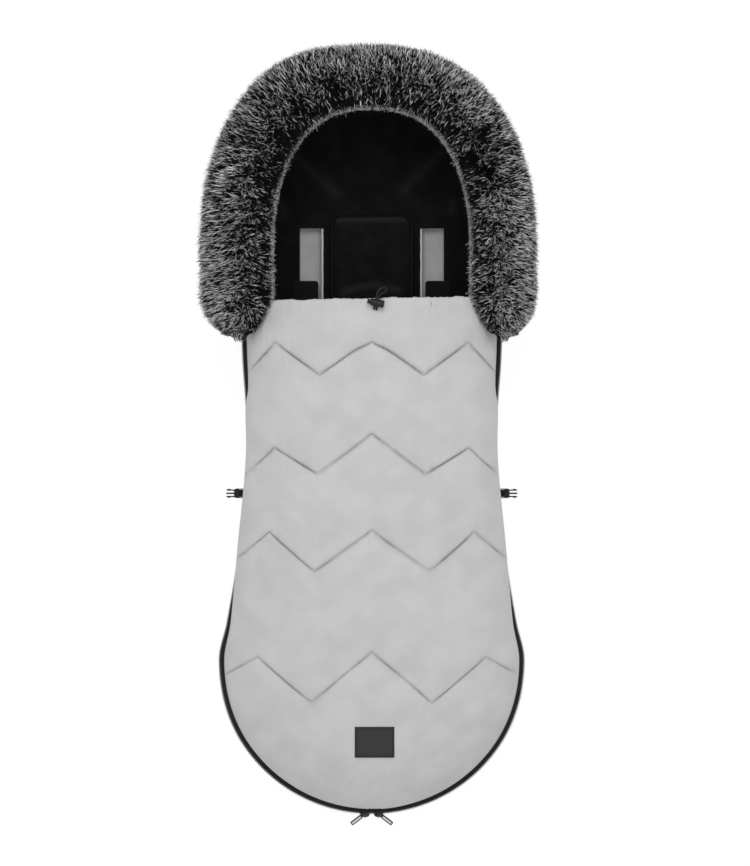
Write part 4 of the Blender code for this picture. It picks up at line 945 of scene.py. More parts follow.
def build_stage():
    """Camera over the footmuff, soft light from the head's side, and a white floor."""
    bpy.ops.object.camera_add(location=(0.0042, 0.0026, 5.719))
    camera = bpy.context.object
    camera.data.lens, camera.data.sensor_width = 180.0, 36.0
    bpy.context.scene.camera = camera

    world = bpy.data.worlds.new("studio")
    world.use_nodes = True
    bpy.context.scene.world = world
    nodes, links = world.node_tree.nodes, world.node_tree.links
    background = nodes["Background"]
    background.inputs["Color"].default_value = (1.0, 1.0, 1.0, 1.0)
    rays = nodes.new("ShaderNodeLightPath")
    seen = nodes.new("ShaderNodeMath")
    seen.operation = "MAXIMUM"
    links.new(rays.outputs["Is Camera Ray"], seen.inputs[0])
    links.new(rays.outputs["Is Glossy Ray"], seen.inputs[1])
    level = nodes.new("ShaderNodeMapRange")
    level.inputs["To Min"].default_value, level.inputs["To Max"].default_value = 0.60, 1.0
    links.new(seen.outputs[0], level.inputs["Value"])
    links.new(level.outputs[0], background.inputs["Strength"])

    for name, place, aim, size, power in (
        ("key", (0.0, 1.8, 2.3), (0.0, 0.0, 0.05), 1.6, 31.0),
        ("fill", (0.0, -1.1, 2.5), (0.0, 0.0, 0.05), 2.2, 12.0),
    ):
        bpy.ops.object.light_add(type="AREA", location=place)
        lamp = bpy.context.object
        lamp.name = name
        lamp.data.size, lamp.data.energy = size, power
        lamp.rotation_euler = (Vector(aim) - Vector(place)).to_track_quat("-Z", "Y").to_euler()

    floor = added(bpy.ops.mesh.primitive_plane_add, "floor", size=12.0, location=(0.0, 0.0, -0.0006))
    finish = Finish("white_floor", 0.9)
    finish.give(Base_Color=(0.86, 0.86, 0.86))
    path = finish.node("ShaderNodeLightPath")
    glossy = Value(finish, path.socket.node.outputs["Is Glossy Ray"])
    clear = Value(finish, path.socket.node.outputs["Is Transmission Ray"])
    seen = path.math("MAXIMUM", glossy).math("MAXIMUM", clear)
    glow = finish.node("ShaderNodeEmission", {}, {"Color": (1.0, 1.0, 1.0), "Strength": 1.05})
    lit = Value(finish, finish.shader.outputs[0])
    mixed = finish.node("ShaderNodeMixShader", {}, {0: seen * 0.9, 1: lit, 2: glow})
    finish.feed(finish.tree.nodes["Material Output"].inputs["Surface"], mixed)
    floor.data.materials.append(finish.material)
    bpy.context.scene.view_settings.view_transform = "Standard"


def hood_plan():
    half = np.concatenate((side_line(HOOD_Y, NECK_Y, 12)[:-1], head_arch(60)))
    half[-1, 0] = 0.0
    half = np.concatenate((half[:1] - (0.0, RIM_SPARE), half))
    return evenly(mirrored(half), PLAN_STEP)


RIM_PLAN = hood_plan()
RIM_NORMALS = outward(RIM_PLAN)
RIM_RUN = run_along(RIM_PLAN) - RIM_SPARE
RIM_LENGTH = RIM_RUN[-1] - RIM_SPARE
COVER_EDGE = float(side_half_width(np.array(HEM_CORNER_Y)))
FUR_MIDDLE = RIM_TAPE + TOUCH + FUR_HEIGHT / 2


def rim_z(y):
    return RIM_LOW_Z + (RIM_HIGH_Z - RIM_LOW_Z) * smoothstep(y, HOOD_Y, NECK_Y + HEAD_RISE)


def on_rim(run, inset, height, share_cut=1.0):
    """Places by the hood's edge: run along it from its +X end, inset towards the head, height above it."""
    lines = (RIM_PLAN, RIM_NORMALS)
    plan, normal = (np.array([np.interp(run, RIM_RUN, way) for way in line.T]) for line in lines)
    to_end = np.clip(np.minimum(run, RIM_LENGTH - run), 0, None)
    fade = np.maximum(0, 1 - to_end / FUR_FADE) * share_cut
    x, y = plan - normal * inset
    y = y + np.maximum(0, COVER_EDGE - np.abs(x)) * fade
    return np.stack((x, y + math.tan(HOOD_LIFT) * height * fade, rim_z(y) + height), axis=-1)


def fur_place(run, angle, scale):
    """Places in the fur's roll: an angle round it, 0 towards the head, at a scale of its section."""
    sidewise = np.interp(run, RIM_RUN, RIM_NORMALS[:, 0])
    fuller = np.where(sidewise < 0, 0.27, 0.07) * smoothstep(np.abs(sidewise), 0.0, 0.7)
    spread = np.where(np.cos(angle) < 0, 0.89 + fuller, 0.98)
    height = FUR_MIDDLE + FUR_HEIGHT / 2 * scale * np.sin(angle)
    return on_rim(run, FUR_HALF_WIDTH * spread * scale * np.cos(angle), height, 0.25)


def fur_taper(run):
    """How much the fur's section shrinks towards its rounded ends."""
    to_end = np.clip((np.minimum(run, RIM_LENGTH - run) + FUR_END) / 0.056, 0.01, 1)
    return np.sqrt(1 - (1 - to_end) ** 2)


def build_fur_core(finish):
    """The dark underfur that fills the roll."""
    runs = np.linspace(-0.016, RIM_LENGTH + 0.016, 200)[:, None]
    angles = np.linspace(0, 2 * PI, 41)[None, :-1]
    scale = 0.64 + 0.05 * ripples(31, (runs, 0.022), (angles, 1.6))
    scale = scale + 0.04 * ripples(32, (runs, 0.009), (angles, 0.7))
    scale = np.where(np.sin(angles) < 0, scale + (0.98 - scale) * smoothstep(-np.sin(angles), 0.0, 0.8), scale)
    core = tube("fur_underfur", fur_place(runs, angles, scale * fur_taper(runs)))
    finished(core, finish, "hood_rim", ("fur_trim",))


def hairs(name, finish, run, angle, root, tip, drift, lean, width, frost):
    """Tapering ribbons, one for each hair, that curve from the root to the tip scale of the fur's section."""
    t = np.array([0.0, 0.42, 0.82, 1.0])
    scale = root[:, None] + (tip - root)[:, None] * t**0.9
    runs, angles = run[:, None] + drift[:, None] * t**1.4, angle[:, None] + lean[:, None] * t**1.5
    line = fur_place(runs, angles, scale)
    along = np.gradient(line, axis=1)
    facing = line - fur_place(runs - drift[:, None] * 1.2, angles, scale * 0.3)
    side = unit(np.cross(along, facing), 1e-9)
    half = width[:, None] * np.array([0.8, 1.0, 0.9])[None] / 2
    left, right = line[:, :3] - side[:, :3] * half[..., None], line[:, :3] + side[:, :3] * half[..., None]
    points = np.concatenate((left, right, line[:, 3:]), axis=1)
    base = np.arange(len(run))[:, None] * 7
    quads = np.array([[0, 3, 4, 1], [1, 4, 5, 2]])[None] + base[..., None]
    tips = np.array([[2, 5, 6]])[None] + base[..., None]
    corners = np.concatenate((quads.ravel(), tips.ravel()))
    mesh = bpy.data.meshes.new(name)
    mesh.vertices.add(len(run) * 7)
    mesh.vertices.foreach_set("co", points.ravel())
    mesh.loops.add(len(corners))
    mesh.loops.foreach_set("vertex_index", corners)
    mesh.polygons.add(len(run) * 3)
    starts = np.concatenate((np.arange(len(run) * 2) * 4, len(run) * 8 + np.arange(len(run)) * 3))
    mesh.polygons.foreach_set("loop_start", starts)
    mesh.update(calc_edges=True)
    mesh.validate()
    obj = linked(name, mesh)
    give_values(obj, tip=np.tile(np.concatenate((t[:3], t[:3], t[3:])), len(run)), frost=np.repeat(frost, 7))
    finished(obj, finish, "hood_rim")


def drawn_from(cell, first, second):
    """A repeatable random number from 0 to 1 for each cell of a grid."""
    return np.modf(np.abs(np.sin(cell[0] * first + cell[1] * second) * 43758.5453))[0]


def build_fur(finish):
    """Hair over the roll: some hairs frosted and some dark, with a pale short fringe along its inner edge."""
    count = 38500
    for piece in range(5):
        draw = np.random.default_rng(100 + piece)
        run = draw.uniform(-0.019, RIM_LENGTH + 0.019, count)
        angle = draw.uniform(-1.05, PI + 1.25, count)
        tall, wide = 0.0019, 0.048
        cell = np.stack((np.floor(run / tall), np.floor(angle / wide)))
        first, second, third = (drawn_from(cell, *pair) for pair in ((12.9, 78.2), (39.3, 11.1), (26.7, 51.7)))
        tuft_run, tuft_angle = (cell[0] + first) * tall, (cell[1] + second) * wide
        pull = draw.uniform(0.0, 0.34, count)
        sweep = ripples(41, (run, 0.045), (angle, 1.2))
        swirl = ripples(42, (run, 0.038), (angle, 1.0))
        patch = ripples(43, (run, 0.045), (angle, 1.1))
        lean = (tuft_angle - angle) * pull + 0.20 * np.clip(angle - 0.8, -0.6, 1.2) + 0.20 * sweep
        lean += 0.12 * (third - 0.5) + draw.normal(0, 0.22, count)
        ends = np.clip(1 - np.minimum(run, RIM_LENGTH - run) / 0.040, 0, 1) * np.where(run < 0.1, -1, 1)
        down = np.where(run < RIM_LENGTH / 2, -1, 1) * smoothstep(np.abs(run / RIM_LENGTH - 0.5), 0.1, 0.4)
        drift = (tuft_run - run) * pull + 0.007 * swirl + 0.005 * (first - 0.5) + 0.007 * down + 0.006 * ends
        drift += draw.normal(0, 0.0056, count)
        limit = FUR_END - 0.0015 + 0.0030 * np.abs(draw.normal(0, 1, count))
        drift = np.clip(run + drift, -limit, RIM_LENGTH + limit) - run
        tuft = ripples(44, (run, 0.016), (angle, 0.7))
        tip = (1.0 + 0.03 * patch + 0.062 * tuft + 0.055 * draw.normal(0, 1, count)) * fur_taper(run + drift)
        share = run / RIM_LENGTH
        pale_share = 0.225 + 0.17 * patch + 0.08 * smoothstep(angle, 1.6, 2.9)
        pale_share = pale_share - 0.16 * smoothstep(1.4 - angle, 0, 0.6)
        pale_share += 0.04 * smoothstep(0.35 - share, 0.0, 0.2) - 0.07 * bell(share, 0.12, 0.66)
        pale_share -= 0.09 * bell(share, 0.05, 0.26)
        pale = draw.uniform(0, 1, count) < pale_share
        frost = np.where(pale, draw.uniform(0.95, 1.45, count), draw.uniform(0.16, 0.52, count))
        hairs(f"fur_hair_{piece + 1}", finish, run, angle, 0.58 * fur_taper(run), tip, drift, lean,
              draw.uniform(0.00031, 0.00060, count) * np.where(pale, 1.15, 1.0), frost)
    draw = np.random.default_rng(200)
    count = 24000
    run = draw.uniform(-0.010, RIM_LENGTH + 0.010, count)
    angle = draw.normal(0.13, 0.12, count)
    tip = (1.0 + 0.028 * draw.normal(0, 1, count)) * fur_taper(run)
    down = np.where(run < RIM_LENGTH / 2, -1, 1)
    hairs("fur_fringe", finish, run, angle, tip - draw.uniform(0.05, 0.12, count), tip,
          0.0022 * down + draw.normal(0, 0.0016, count), draw.normal(-0.03, 0.03, count),
          draw.uniform(0.0003, 0.0006, count), draw.uniform(0.95, 1.7, count))
    count = 5000
    run = np.where(draw.uniform(0, 1, count) < 0.5, -0.013, RIM_LENGTH + 0.013)
    way = np.where(run < 0, -1.0, 1.0)
    reach = np.sqrt(draw.uniform(0, 1, count)) * 0.40
    pale = draw.uniform(0, 1, count) < 0.32
    hairs("fur_ends", finish, run, draw.uniform(0, 2 * PI, count), reach, reach * 1.2 + 0.05,
          way * (0.003 * np.sqrt(1 - reach**2) + 0.001 * draw.normal(0, 1, count)),
          draw.normal(0, 0.15, count), draw.uniform(0.00036, 0.00070, count),
          np.where(pale, draw.uniform(0.85, 1.15, count), draw.uniform(0.25, 0.60, count)))


def zip_line():
    """Plan of the zip, anticlockwise from its top on the -X side."""
    half = np.concatenate((foot_arc(60), side_line(FOOT_Y, ZIP_TOP_Y, 60)[1:]))
    return evenly(mirrored(half, "low"), 0.002)


def tooth_source():
    """One moulded zip tooth: a rounded block along X and out along Y, with a narrower head towards +Z."""
    obj = added(bpy.ops.mesh.primitive_cube_add, "tooth", size=1.0)
    apply_modifier(obj, "BEVEL", width=0.16, segments=1, limit_method="NONE")
    points = coordinates(obj) * (TOOTH_WIDTH, TEETH_DEPTH, TOOTH_LENGTH)
    points[:, 0] *= np.where(points[:, 2] > 0.0005, 0.82, 1.0)
    move_points(obj, points)
    return obj


def build_zips(tape_finish, teeth_finish):
    """Two tapes with teeth that mesh, one on the body and one under the cover's edge."""
    plan = zip_line()
    normal = outward(plan)
    inner = TAPE_INSET + TAPE_THICKNESS
    foot = WALL_TOP_Z + TOUCH
    section = np.array((
        (TAPE_INSET, foot), (TAPE_INSET, BODY_TAPE_TOP_Z), (inner, BODY_TAPE_TOP_Z), (inner, foot),
    ))
    ring = plan[:, None] - normal[:, None] * section[None, :, :1]
    rings = np.concatenate((ring, np.broadcast_to(section[None, :, 1:], (*ring.shape[:2], 1))), axis=2)
    tape = tube("zip_body_tape", rings)
    finished(tape, tape_finish, "body", ("zip_body",), angle=40)

    low = plan[plan[:, 1] < ZIP_TOP_Y - 0.0005]
    low_normal = outward(low)
    top = cover_inset(low[:, 1]) + TAPE_UNDER + TAPE_THICKNESS + TAPE_INSET
    shelf = COVER_BASE_Z - TOUCH
    outline = (
        (TAPE_INSET, COVER_TAPE_LOW_Z), (TAPE_INSET, shelf), (None, shelf), (None, shelf - TAPE_THICKNESS),
        (inner, shelf - TAPE_THICKNESS), (inner, COVER_TAPE_LOW_Z),
    )
    rings = np.zeros((len(low), len(outline), 3))
    for i, (inset, z) in enumerate(outline):
        rings[:, i, :2] = low - low_normal * (top if inset is None else np.full(len(low), inset))[:, None]
        rings[:, i, 2] = z
    tape = tube("zip_cover_tape", rings[:, ::-1])
    covered = ("zip_cover_lower", "zip_cover_left", "zip_cover_right")
    finished(tape, tape_finish, replaces=covered, angle=40)
    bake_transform(tape)

    for name, line, normals, z, turn, start in (
        ("zip_body_teeth", plan, normal, TEETH_LOW_Z + TOOTH_LENGTH / 2, 1.0, TEETH_START),
        ("zip_cover_teeth", low, low_normal, TEETH_HIGH_Z - TOOTH_LENGTH / 2, -1.0,
         TEETH_START + TOOTH_PITCH / 2),
    ):
        centre = at_height(line - normals * (TEETH_DEPTH / 2 - TEETH_STAND_OUT), z)
        up = np.zeros_like(centre)
        up[:, 2] = turn
        teeth = copies(name, tooth_source(), frames_along(centre, up, TOOTH_PITCH, start))
        finished(teeth, teeth_finish, angle=30)
        if turn > 0:
            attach(teeth, "body")
        else:
            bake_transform(teeth)


def body_plan():
    """Plan of the back, anticlockwise, without a last point on its first."""
    half = np.concatenate((foot_arc(60), side_line(FOOT_Y, NECK_Y, 60)[1:], head_arch(60)[1:]))
    half[0, 0] = half[-1, 0] = 0.0
    return evenly(mirrored(half), PLAN_STEP)[:-1]


def fold_crests(x, y, creases):
    """How near each place is to the crest of a fold: 1 on it, 0 far away."""
    crest = np.zeros_like(x)
    for start, end, width in creases:
        along, place = np.subtract(end, start), np.stack((x - start[0], y - start[1]), axis=-1)
        share = np.clip(place @ along / (along @ along), 0, 1)
        away = np.linalg.norm(place - share[..., None] * along, axis=-1)
        crest = np.maximum(crest, bell(away, width))
    return crest


def tray(name, outer_depth, thickness, top_z, bulge=0.0, seed=0, soft_floor=False):
    """A layer of the back: a floor with a rounded edge and a wall, soft and slightly uneven."""
    plan = body_plan()
    normal = outward(plan, closed=True)
    run = np.arange(len(plan)) * PLAN_STEP
    rings = []
    centre = WALL_INSET + BACK_CORNER
    for depth, order, uneven in ((outer_depth, 1, bulge), (outer_depth + thickness, -1, 0.0)):
        radius = BACK_CORNER - depth
        side = []
        for a in np.linspace(0, PI / 2, 9):
            side.append((centre - radius * math.sin(a), BACK_CORNER - radius * math.cos(a), 0.0))
        for level in np.linspace(0, 1, 8)[1:]:
            side.append((centre - radius, BACK_CORNER + (top_z - BACK_CORNER) * level, math.sin(PI * level)))
        layer = []
        for inset, z, swell in side:
            wave = uneven * swell * (0.7 + 0.3 * ripples(seed, (run, 0.08)))
            layer.append(at_height(plan - normal * (inset - wave)[:, None], z))
        rings += layer[::order]
    if soft_floor:
        edge = rings[-1]
        spine = edge * (0, 1, 1)
        spine[:, 1] = np.clip(spine[:, 1], FOOT_Y, NECK_Y + 0.06)
        for share in np.linspace(1, 0.02, 40)[1:]:
            ring = spine + (edge - spine) * share
            x, y = ring[:, 0], ring[:, 1]
            soft = 0.0012 * ripples(65, (x, 0.05), (y, 0.06)) + 0.0045 * fold_crests(x, y, FLEECE_FOLDS)
            ring[:, 2] += soft * smoothstep(1 - share, 0, 0.15)
            rings.append(ring)
    return tube(name, np.array(rings))


def cut_slots(obj, spare=0.0):
    """Cuts both harness slots through a layer."""
    for side in (-1, 1):
        centre = (side * sum(SLOTS_X) / 2, sum(SLOTS_Y) / 2, 0.01)
        cutter = added(bpy.ops.mesh.primitive_cube_add, "slot_cutter", size=1.0, location=centre)
        cutter.scale = (SLOTS_X[1] - SLOTS_X[0] - 2 * spare, SLOTS_Y[1] - SLOTS_Y[0] - 2 * spare, 0.06)
        bpy.ops.object.transform_apply(location=True, rotation=False, scale=True)
        apply_modifier(obj, "BOOLEAN", operation="DIFFERENCE", object=cutter, solver="EXACT")
        bpy.data.objects.remove(cutter, do_unlink=True)
    return obj


def build_back(grey, black, pale, edging):
    """Padded outer back with piping, and its fleece lining, both with the harness slots."""
    shell = cut_slots(tray("back_shell", 0.0, 0.0102, WALL_TOP_Z, 0.0012, 61))
    finished(shell, grey, "body", ("back_outer", "back_wadding"), angle=40)
    lining = cut_slots(tray("back_fleece", 0.0106, 0.0025, WALL_TOP_Z, soft_floor=True), 0.0016)
    x, y = coordinates(lining)[:, 0], coordinates(lining)[:, 1]
    # The fold crests on the floor are raised and also painted lighter as highlights
    crests = 0.6 * fold_crests(x, y, FLEECE_FOLDS)
    give_values(lining, brushed=crests * (coordinates(lining)[:, 2] > FLOOR_Z - 0.002))
    finished(lining, black, "body", ("back_lining",), angle=40)
    plan = body_plan()
    normal = outward(plan, closed=True)
    round_edge = at_height(plan - normal * (WALL_INSET + 0.0004), PIPING_Z)
    piping = cord_tube("back_piping", round_edge, PIPING_RADIUS, 10, True)
    finished(piping, grey, "body")
    up = np.concatenate((normal, np.zeros((len(plan), 1))), axis=1)
    for name, z, inset in (("side_seam_stitches", 0.0300, -0.0004), ("top_seam_stitches", 0.0530, 0.0)):
        stitches(name, at_height(plan - normal * (WALL_INSET + inset), z), up, pale)
    for word, side in SIDES:
        ys = np.linspace(SLOTS_Y[0], SLOTS_Y[1] - 0.0024, 32)
        edge = np.stack((np.full(32, side * (SLOTS_X[0] + 0.0026)), ys, np.full(32, FLOOR_Z + 0.0006)), axis=1)
        edge[:, 0] += 0.0003 * ripples(63 + side, (ys, 0.03))
        finished(cord_tube(f"slot_edge_{word}", edge, 0.0014, 10), edging, "body")
        corners = np.array(((0, 0), (1, 0), (1, 1), (0, 1), (0, 0)), dtype=float)
        low = np.array((min(side * SLOTS_X[0], side * SLOTS_X[1]) - 0.004, SLOTS_Y[0] - 0.004))
        size = np.array((SLOTS_X[1] - SLOTS_X[0] + 0.008, SLOTS_Y[1] - SLOTS_Y[0] + 0.008))
        line = at_height(evenly(low + corners * size, 0.001), 0.0)
        down = np.tile((0.0, 0.0, -1.0), (len(line), 1))
        stitches(f"slot_stitches_{word}", line, down, pale)


def rounded_plan(columns, rows, power=8.0):
    """A grid of places from -1 to 1 each way whose outline is a square with rounded corners."""
    ways = (np.linspace(-1, 1, count) for count in (columns, rows))
    u, v = np.meshgrid(*((np.sin(way * PI / 2 * 0.999) + way) / 2 for way in ways))
    biggest = np.maximum(np.abs(u), np.abs(v))
    length = (np.abs(u) ** power + np.abs(v) ** power) ** (1 / power)
    shrink = np.where(length > 0, biggest / np.maximum(length, 1e-9), 1.0)
    return u * shrink, v * shrink, biggest


def soft_panel(name, low, high, columns, rows, power=8.0, edge=4.0, seed=0, uneven=0.0):
    """A flat pad or cloth panel between two corners, with rounded corners and soft edges."""
    u, v, out = rounded_plan(columns, rows, power)
    centre, half = (np.array(low) + high) / 2, (np.array(high) - low) / 2
    crown = (1 - out ** (edge * 4)) ** 0.5
    x, y = centre[0] + u * half[0], centre[1] + v * half[1]
    wave = uneven * ripples(seed, (x, 0.03), (y, 0.03)) * crown if uneven else 0.0
    front = np.stack((x, y, centre[2] + half[2] * crown * 0.98 + half[2] * 0.02 - np.abs(wave)), axis=-1)
    back = np.stack((x, y, centre[2] - half[2] * crown * 0.98 - half[2] * 0.02), axis=-1)
    return slab(name, front, back)


def build_inside(black, binding, pale):
    """The raised centre pad with its bound edges, the hook-and-loop tabs and the flaps behind the slots."""
    low = (-PAD_HALF_WIDTH, PAD_Y[0], FLOOR_Z + TOUCH)
    high = (PAD_HALF_WIDTH, PAD_Y[1], FLOOR_Z + TOUCH + PAD_HEIGHT)
    pad = soft_panel("centre_pad_cushion", low, high, 25, 81, 12.0, 1.4, 71, 0.0008)
    points = coordinates(pad)
    pins = np.where(points[:, 2] < FLOOR_Z + 0.003, 1.0, 0.0)
    inflated(pad, pins, 0.0025, 3.0)
    subdivided(pad)
    points = coordinates(pad)
    # The pad's fold crests are raised and also painted lighter as highlights
    crest = fold_crests(points[:, 0], points[:, 1], PAD_FOLDS) * (points[:, 2] > FLOOR_Z + 0.001)
    points[:, 2] += 0.0015 * crest
    move_points(pad, points)
    give_values(pad, brushed=crest)
    finished(pad, black, "body", ("centre_pad",))
    for word, side in SIDES:
        ys = np.linspace(low[1] + 0.012, high[1] - 0.010, 90)
        line = np.stack((np.full(90, side * 0.0528), ys, np.full(90, FLOOR_Z + 0.0062)), axis=1)
        line[:, 0] += 0.0004 * ripples(73 + side, (ys, 0.05))
        finished(cord_tube(f"pad_binding_{word}", line, 0.0017, 10), binding, "body")
        xs = sorted((side * (SLOTS_X[0] + RUN), side * (SLOTS_X[1] - RUN)))
        flap = soft_panel(f"slot_flap_cloth_{word}", (xs[0], SLOTS_Y[0] + RUN, TOUCH),
                          (xs[1], SLOTS_Y[1] - RUN, 0.0018), 15, 41, 24.0, 6.0, 75 + side, 0.0002)
        finished(flap, pale, f"slot_flap_{word}", (f"slot_flap_{word}",))
        xs = sorted((side * TABS_X[0], side * TABS_X[1]))
        tab = soft_panel(f"harness_tab_cloth_{word}", (xs[0], TABS_Y[0], FLOOR_Z + TOUCH),
                         (xs[1], TABS_Y[1], FLOOR_Z + 0.0019), 25, 23, 10.0, 5.0, 77 + side, 0.0001)
        finished(tab, binding, f"harness_tab_{word}", (f"harness_tab_{word}",))


def build_hood(grey, black):
    """The hood's outer cloth and fleece, and the tape along its edge that carries the fur."""
    inside = (RIM_RUN > -0.0005) & (RIM_RUN < RIM_LENGTH + 0.0005)
    plan, normal, run = RIM_PLAN[inside], RIM_NORMALS[inside], RIM_RUN[inside]
    levels = np.linspace(0, 1, 15)[:, None]
    low, high = WALL_TOP_Z + TOUCH, rim_z(plan[:, 1]) - TOUCH
    z = low + (high - low)[None] * levels
    bulge = 0.007 * np.sin(PI * levels) * (high - low)[None] / (RIM_HIGH_Z - WALL_TOP_Z)
    soft = 0.0009 * ripples(81, (run[None], 0.040), (levels, 1.5)) * np.sin(PI * levels)
    for name, depth, thickness, finish, slot, node in (
        ("hood_outer_cloth", 0.0, 0.002, grey, "back_fabric", "hood_shell"),
        ("hood_fleece", 0.0023, 0.009, black, "black_fleece", "hood_lining"),
    ):
        grids = []
        for inset in (WALL_INSET + depth, WALL_INSET + depth + thickness):
            place = plan[None] - normal[None] * (inset - bulge - soft)[..., None]
            grids.append(np.concatenate((place, z[..., None]), axis=2))
        wall = slab(name, *grids)
        finished(wall, finish, replaces=(node,), angle=50)
        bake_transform(wall)
    across = np.array((-0.012, -0.006, 0.0, 0.006, 0.012, 0.02, 0.03, 0.037, 0.0425))
    across, heights = np.concatenate((across, across[::-1])), np.repeat((0.0, RIM_TAPE), len(across))
    to_end = np.clip((np.minimum(run, RIM_LENGTH - run) + 0.002) / 0.030, 0, 1)
    narrow = 0.15 + 0.85 * np.sqrt(1 - (1 - to_end) ** 2)[:, None]
    rings = on_rim(run[:, None], across * narrow + 0.010 * (1 - narrow), heights[None])
    tape = tube("rim_tape_band", rings[:, ::-1])
    finished(tape, black, "hood_rim", ("rim_tape",), angle=40)


def dropped(target, plan, lift):
    """Places on the target's upper face under a grid of plan points, lifted off it."""
    flat = plan.reshape(-1, 2)
    points, normals = [], []
    for x, y in flat:
        _, place, normal, _ = target.ray_cast(Vector((x, y, 1.0)), Vector((0.0, 0.0, -1.0)))
        points.append(place + normal * lift)
        normals.append(normal)
    return np.array(points).reshape(*plan.shape[:-1], 3), np.array(normals).reshape(*plan.shape[:-1], 3)


def build_label(cover, finish, thread):
    """The woven label on the foot, bare, with its folded edge and a row of stitches."""
    centre, size = np.array(LABEL_CENTRE), np.array(LABEL_SIZE)
    u, v = np.meshgrid(np.linspace(-0.5, 0.5, 35), np.linspace(-0.5, 0.5, 29))
    plan = np.stack((centre[0] + u * size[0], centre[1] + v * size[1]), axis=-1)
    places, normals = dropped(cover, plan, 0.0)
    for _ in range(6):
        places[1:-1, :, 2] = (places[:-2, :, 2] + places[1:-1, :, 2] + places[2:, :, 2]) / 3
        places[:, 1:-1, 2] = (places[:, :-2, 2] + places[:, 1:-1, 2] + places[:, 2:, 2]) / 3
    gap = np.minimum((0.5 - np.abs(u)) * size[0], (0.5 - np.abs(v)) * size[1])
    rise = 0.0013 * np.sqrt(1 - (1 - np.clip(gap / 0.0012, 0, 1)) ** 2)
    front = places + normals * (rise + 0.0003)[..., None]
    label = surface("woven_label", front, edge_gap=gap)
    apply_modifier(label, "SOLIDIFY", thickness=0.0009, offset=-1.0)
    finished(label, finish, "body", ("label",), angle=50)
    inset = 0.0024
    corners = np.array(((-1, -1), (1, -1), (1, 1), (-1, 1), (-1, -1)), dtype=float)
    line, up = dropped(label, evenly(centre + corners * (size / 2 - inset), 0.0008), 0.0001)
    stitches("label_stitches", line, up, thread, 0.0027, 0.0021, 0.0005)


def rounded_block(name, power):
    """A cube of size 1, finely divided, with rounded edges and corners."""
    block = added(bpy.ops.mesh.primitive_cube_add, name, size=1.0)
    for _ in range(2):
        in_edit_mode(block, (bpy.ops.mesh.subdivide, {"number_cuts": 3}))
    out = np.abs(coordinates(block) * 2)
    shrink = out.max(axis=1) * (out**power).sum(axis=1) ** (-1 / power)
    move_points(block, coordinates(block) * shrink[:, None])
    return block


def build_grips(finish):
    """A rounded grip over the outer part of each pull."""
    for word, _ in SIDES:
        pull = bpy.data.objects[f"pull_{word}"]
        world = np.array(pull.matrix_world)
        points = coordinates(pull) @ world[:3, :3].T + world[:3, 3]
        centre = points.mean(axis=0)
        axes = np.linalg.eigh(np.cov((points - centre).T))[1]
        across, up, along = (axes[:, i] for i in range(3))
        if along[1] > 0:
            along = -along
        reach = ((points - centre) @ along).max()
        grip = rounded_block(f"pull_grip_{word}", 8.0)
        size = np.array((0.0172, 0.0068, 0.0054))
        flat = coordinates(grip) * size
        gap = np.minimum(size[0] / 2 - np.abs(flat[:, 0]), size[2] / 2 - np.abs(flat[:, 2]))
        middle = centre + along * (reach - size[0] / 2 + 0.0006)
        move_points(grip, middle + flat[:, :1] * along + flat[:, 1:2] * up + flat[:, 2:] * across)
        give_values(grip, edge_gap=gap)
        finished(grip, finish, f"pull_{word}")


def build_slider_housings(finish):
    """A rounded cap over the outer face of each slider, with the bridge that holds its pull."""
    for word, _ in SIDES:
        low, high = (np.array(corner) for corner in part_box(f"slider_{word}"))
        centre, size = (low + high) / 2, high - low + (0.0020, 0.0006, 0.0010)
        centre[1] -= 0.0008
        housing = rounded_block(f"slider_housing_{word}", 5.0)
        block = coordinates(housing)
        block[:, 2] *= 1 - 0.16 * np.clip(np.abs(block[:, 0]) * 2, 0, 1) ** 2
        out = np.clip(-block[:, 1] * 2, 0, 1)
        block[:, 1] -= 0.16 * out * bell(block[:, 2], 0.16) * bell(block[:, 0], 0.30)
        move_points(housing, centre + block * size)
        finished(housing, finish, f"slider_{word}", angle=50)


def build_straps(finish):
    """The buckles' webbing: a loop from the side seam round the bar, with its end laid through the buckle."""
    straight, radius, half_width, half_thick = 0.0095, 0.0020, 0.0049, 0.0006
    angles = np.linspace(-PI / 2, PI / 2, 9)
    round_bar = [(straight + radius * math.cos(a), radius * math.sin(a), a) for a in angles]
    round_root = [(-radius * math.cos(a), -radius * math.sin(a), a + PI) for a in angles]
    section = [(-1, -0.7), (-0.7, -1), (0.7, -1), (1, -0.7), (1, 0.7), (0.7, 1), (-0.7, 1), (-1, 0.7)]
    for word, side in SIDES:
        rings = np.array([
            [(x + math.cos(a) * t * half_thick, w * half_width, z + math.sin(a) * t * half_thick)
             for t, w in section]
            for x, z, a in round_bar + round_root
        ])
        ends = np.linspace(0.0112, 0.0166, 6)
        tongue = np.array([[(x, w * half_width, 0.0010 + t * half_thick) for t, w in section] for x in ends])
        facing = np.array((side, side, 1.0))
        root = np.array((side * STRAP_ROOT_X, STRAP_ROOT_Y, STRAP_ROOT_Z))
        strap = joined(tube(f"strap_webbing_{word}", rings * facing + root, closed=True),
                       tube("strap_tongue", tongue * facing + root))
        outward_normals(strap, fill=False)
        finished(strap, finish, f"buckle_{word}", (f"strap_{word}",), angle=40)


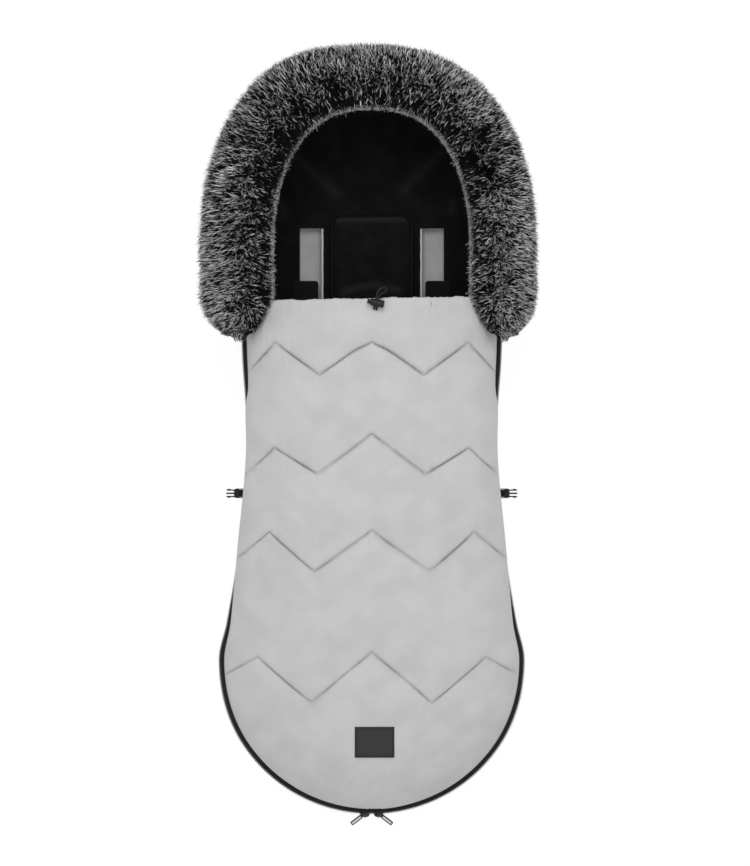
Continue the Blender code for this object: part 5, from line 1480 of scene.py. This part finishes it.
cover_cloth = pale_cover_finish()
grey_cloth = plain_cloth_finish("grey_outer_cloth", (0.30, 0.30, 0.302), (0.42, 0.42, 0.423), 0.0009)
fleece = fleece_finish()
webbing = webbing_finish("black_webbing", (0.010, 0.010, 0.011), (0.035, 0.035, 0.036))
plastic = plastic_finish()
pull_metal = metal_finish("pull_metal", (0.06, 0.06, 0.06), (0.14, 0.14, 0.14), 0.42)
slider_metal = metal_finish("slider_enamel", (0.020, 0.020, 0.020), (0.055, 0.055, 0.055), 0.45)
spring_metal = metal_finish("spring_metal", (0.55, 0.55, 0.55), (0.7, 0.7, 0.7), 0.3)
braid = braid_finish()
hair_finish = fur_finish()
underfur = fur_core_finish()
label_cloth = label_finish()
nylon = teeth_finish()
pale_cloth = plain_cloth_finish("pale_backing_cloth", (0.40, 0.40, 0.402), (0.50, 0.50, 0.502), 0.0008)
edging_cloth = plain_cloth_finish("slot_edging_cloth", (0.56, 0.555, 0.55), (0.66, 0.655, 0.65), 0.0008)
thread = plain_cloth_finish("dark_thread", (0.012, 0.012, 0.012), (0.03, 0.03, 0.03), 0.0004)
hook_tape = webbing_finish("black_hook_tape", (0.0035, 0.0035, 0.004), (0.012, 0.012, 0.0125), 0.0014)

build_stage()
build_drawcord(braid)
build_loop(braid)
cover = build_cover(cover_cloth)
build_cover_lining(fleece)
build_casing(cover_cloth)
build_zips(webbing, nylon)
build_back(grey_cloth, fleece, pale_cloth, edging_cloth)
build_inside(fleece, hook_tape, pale_cloth)
build_hood(grey_cloth, fleece)
build_fur_core(underfur)
build_fur(hair_finish)
build_label(cover, label_cloth, thread)
build_straps(webbing)
build_grips(grip_finish())
build_slider_housings(slider_metal)

# The CAD pieces that stay get procedural materials in their slots
for finish, names in (
    (plastic, ("cord_lock_body", "cord_lock_button", "buckle_left", "buckle_right")),
    (spring_metal, ("cord_lock_spring",)), (slider_metal, ("slider_left", "slider_right")),
    (pull_metal, ("pull_left", "pull_right")),
):
    for name in names:
        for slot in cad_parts[name].material_slots:
            slot.material = finish.material
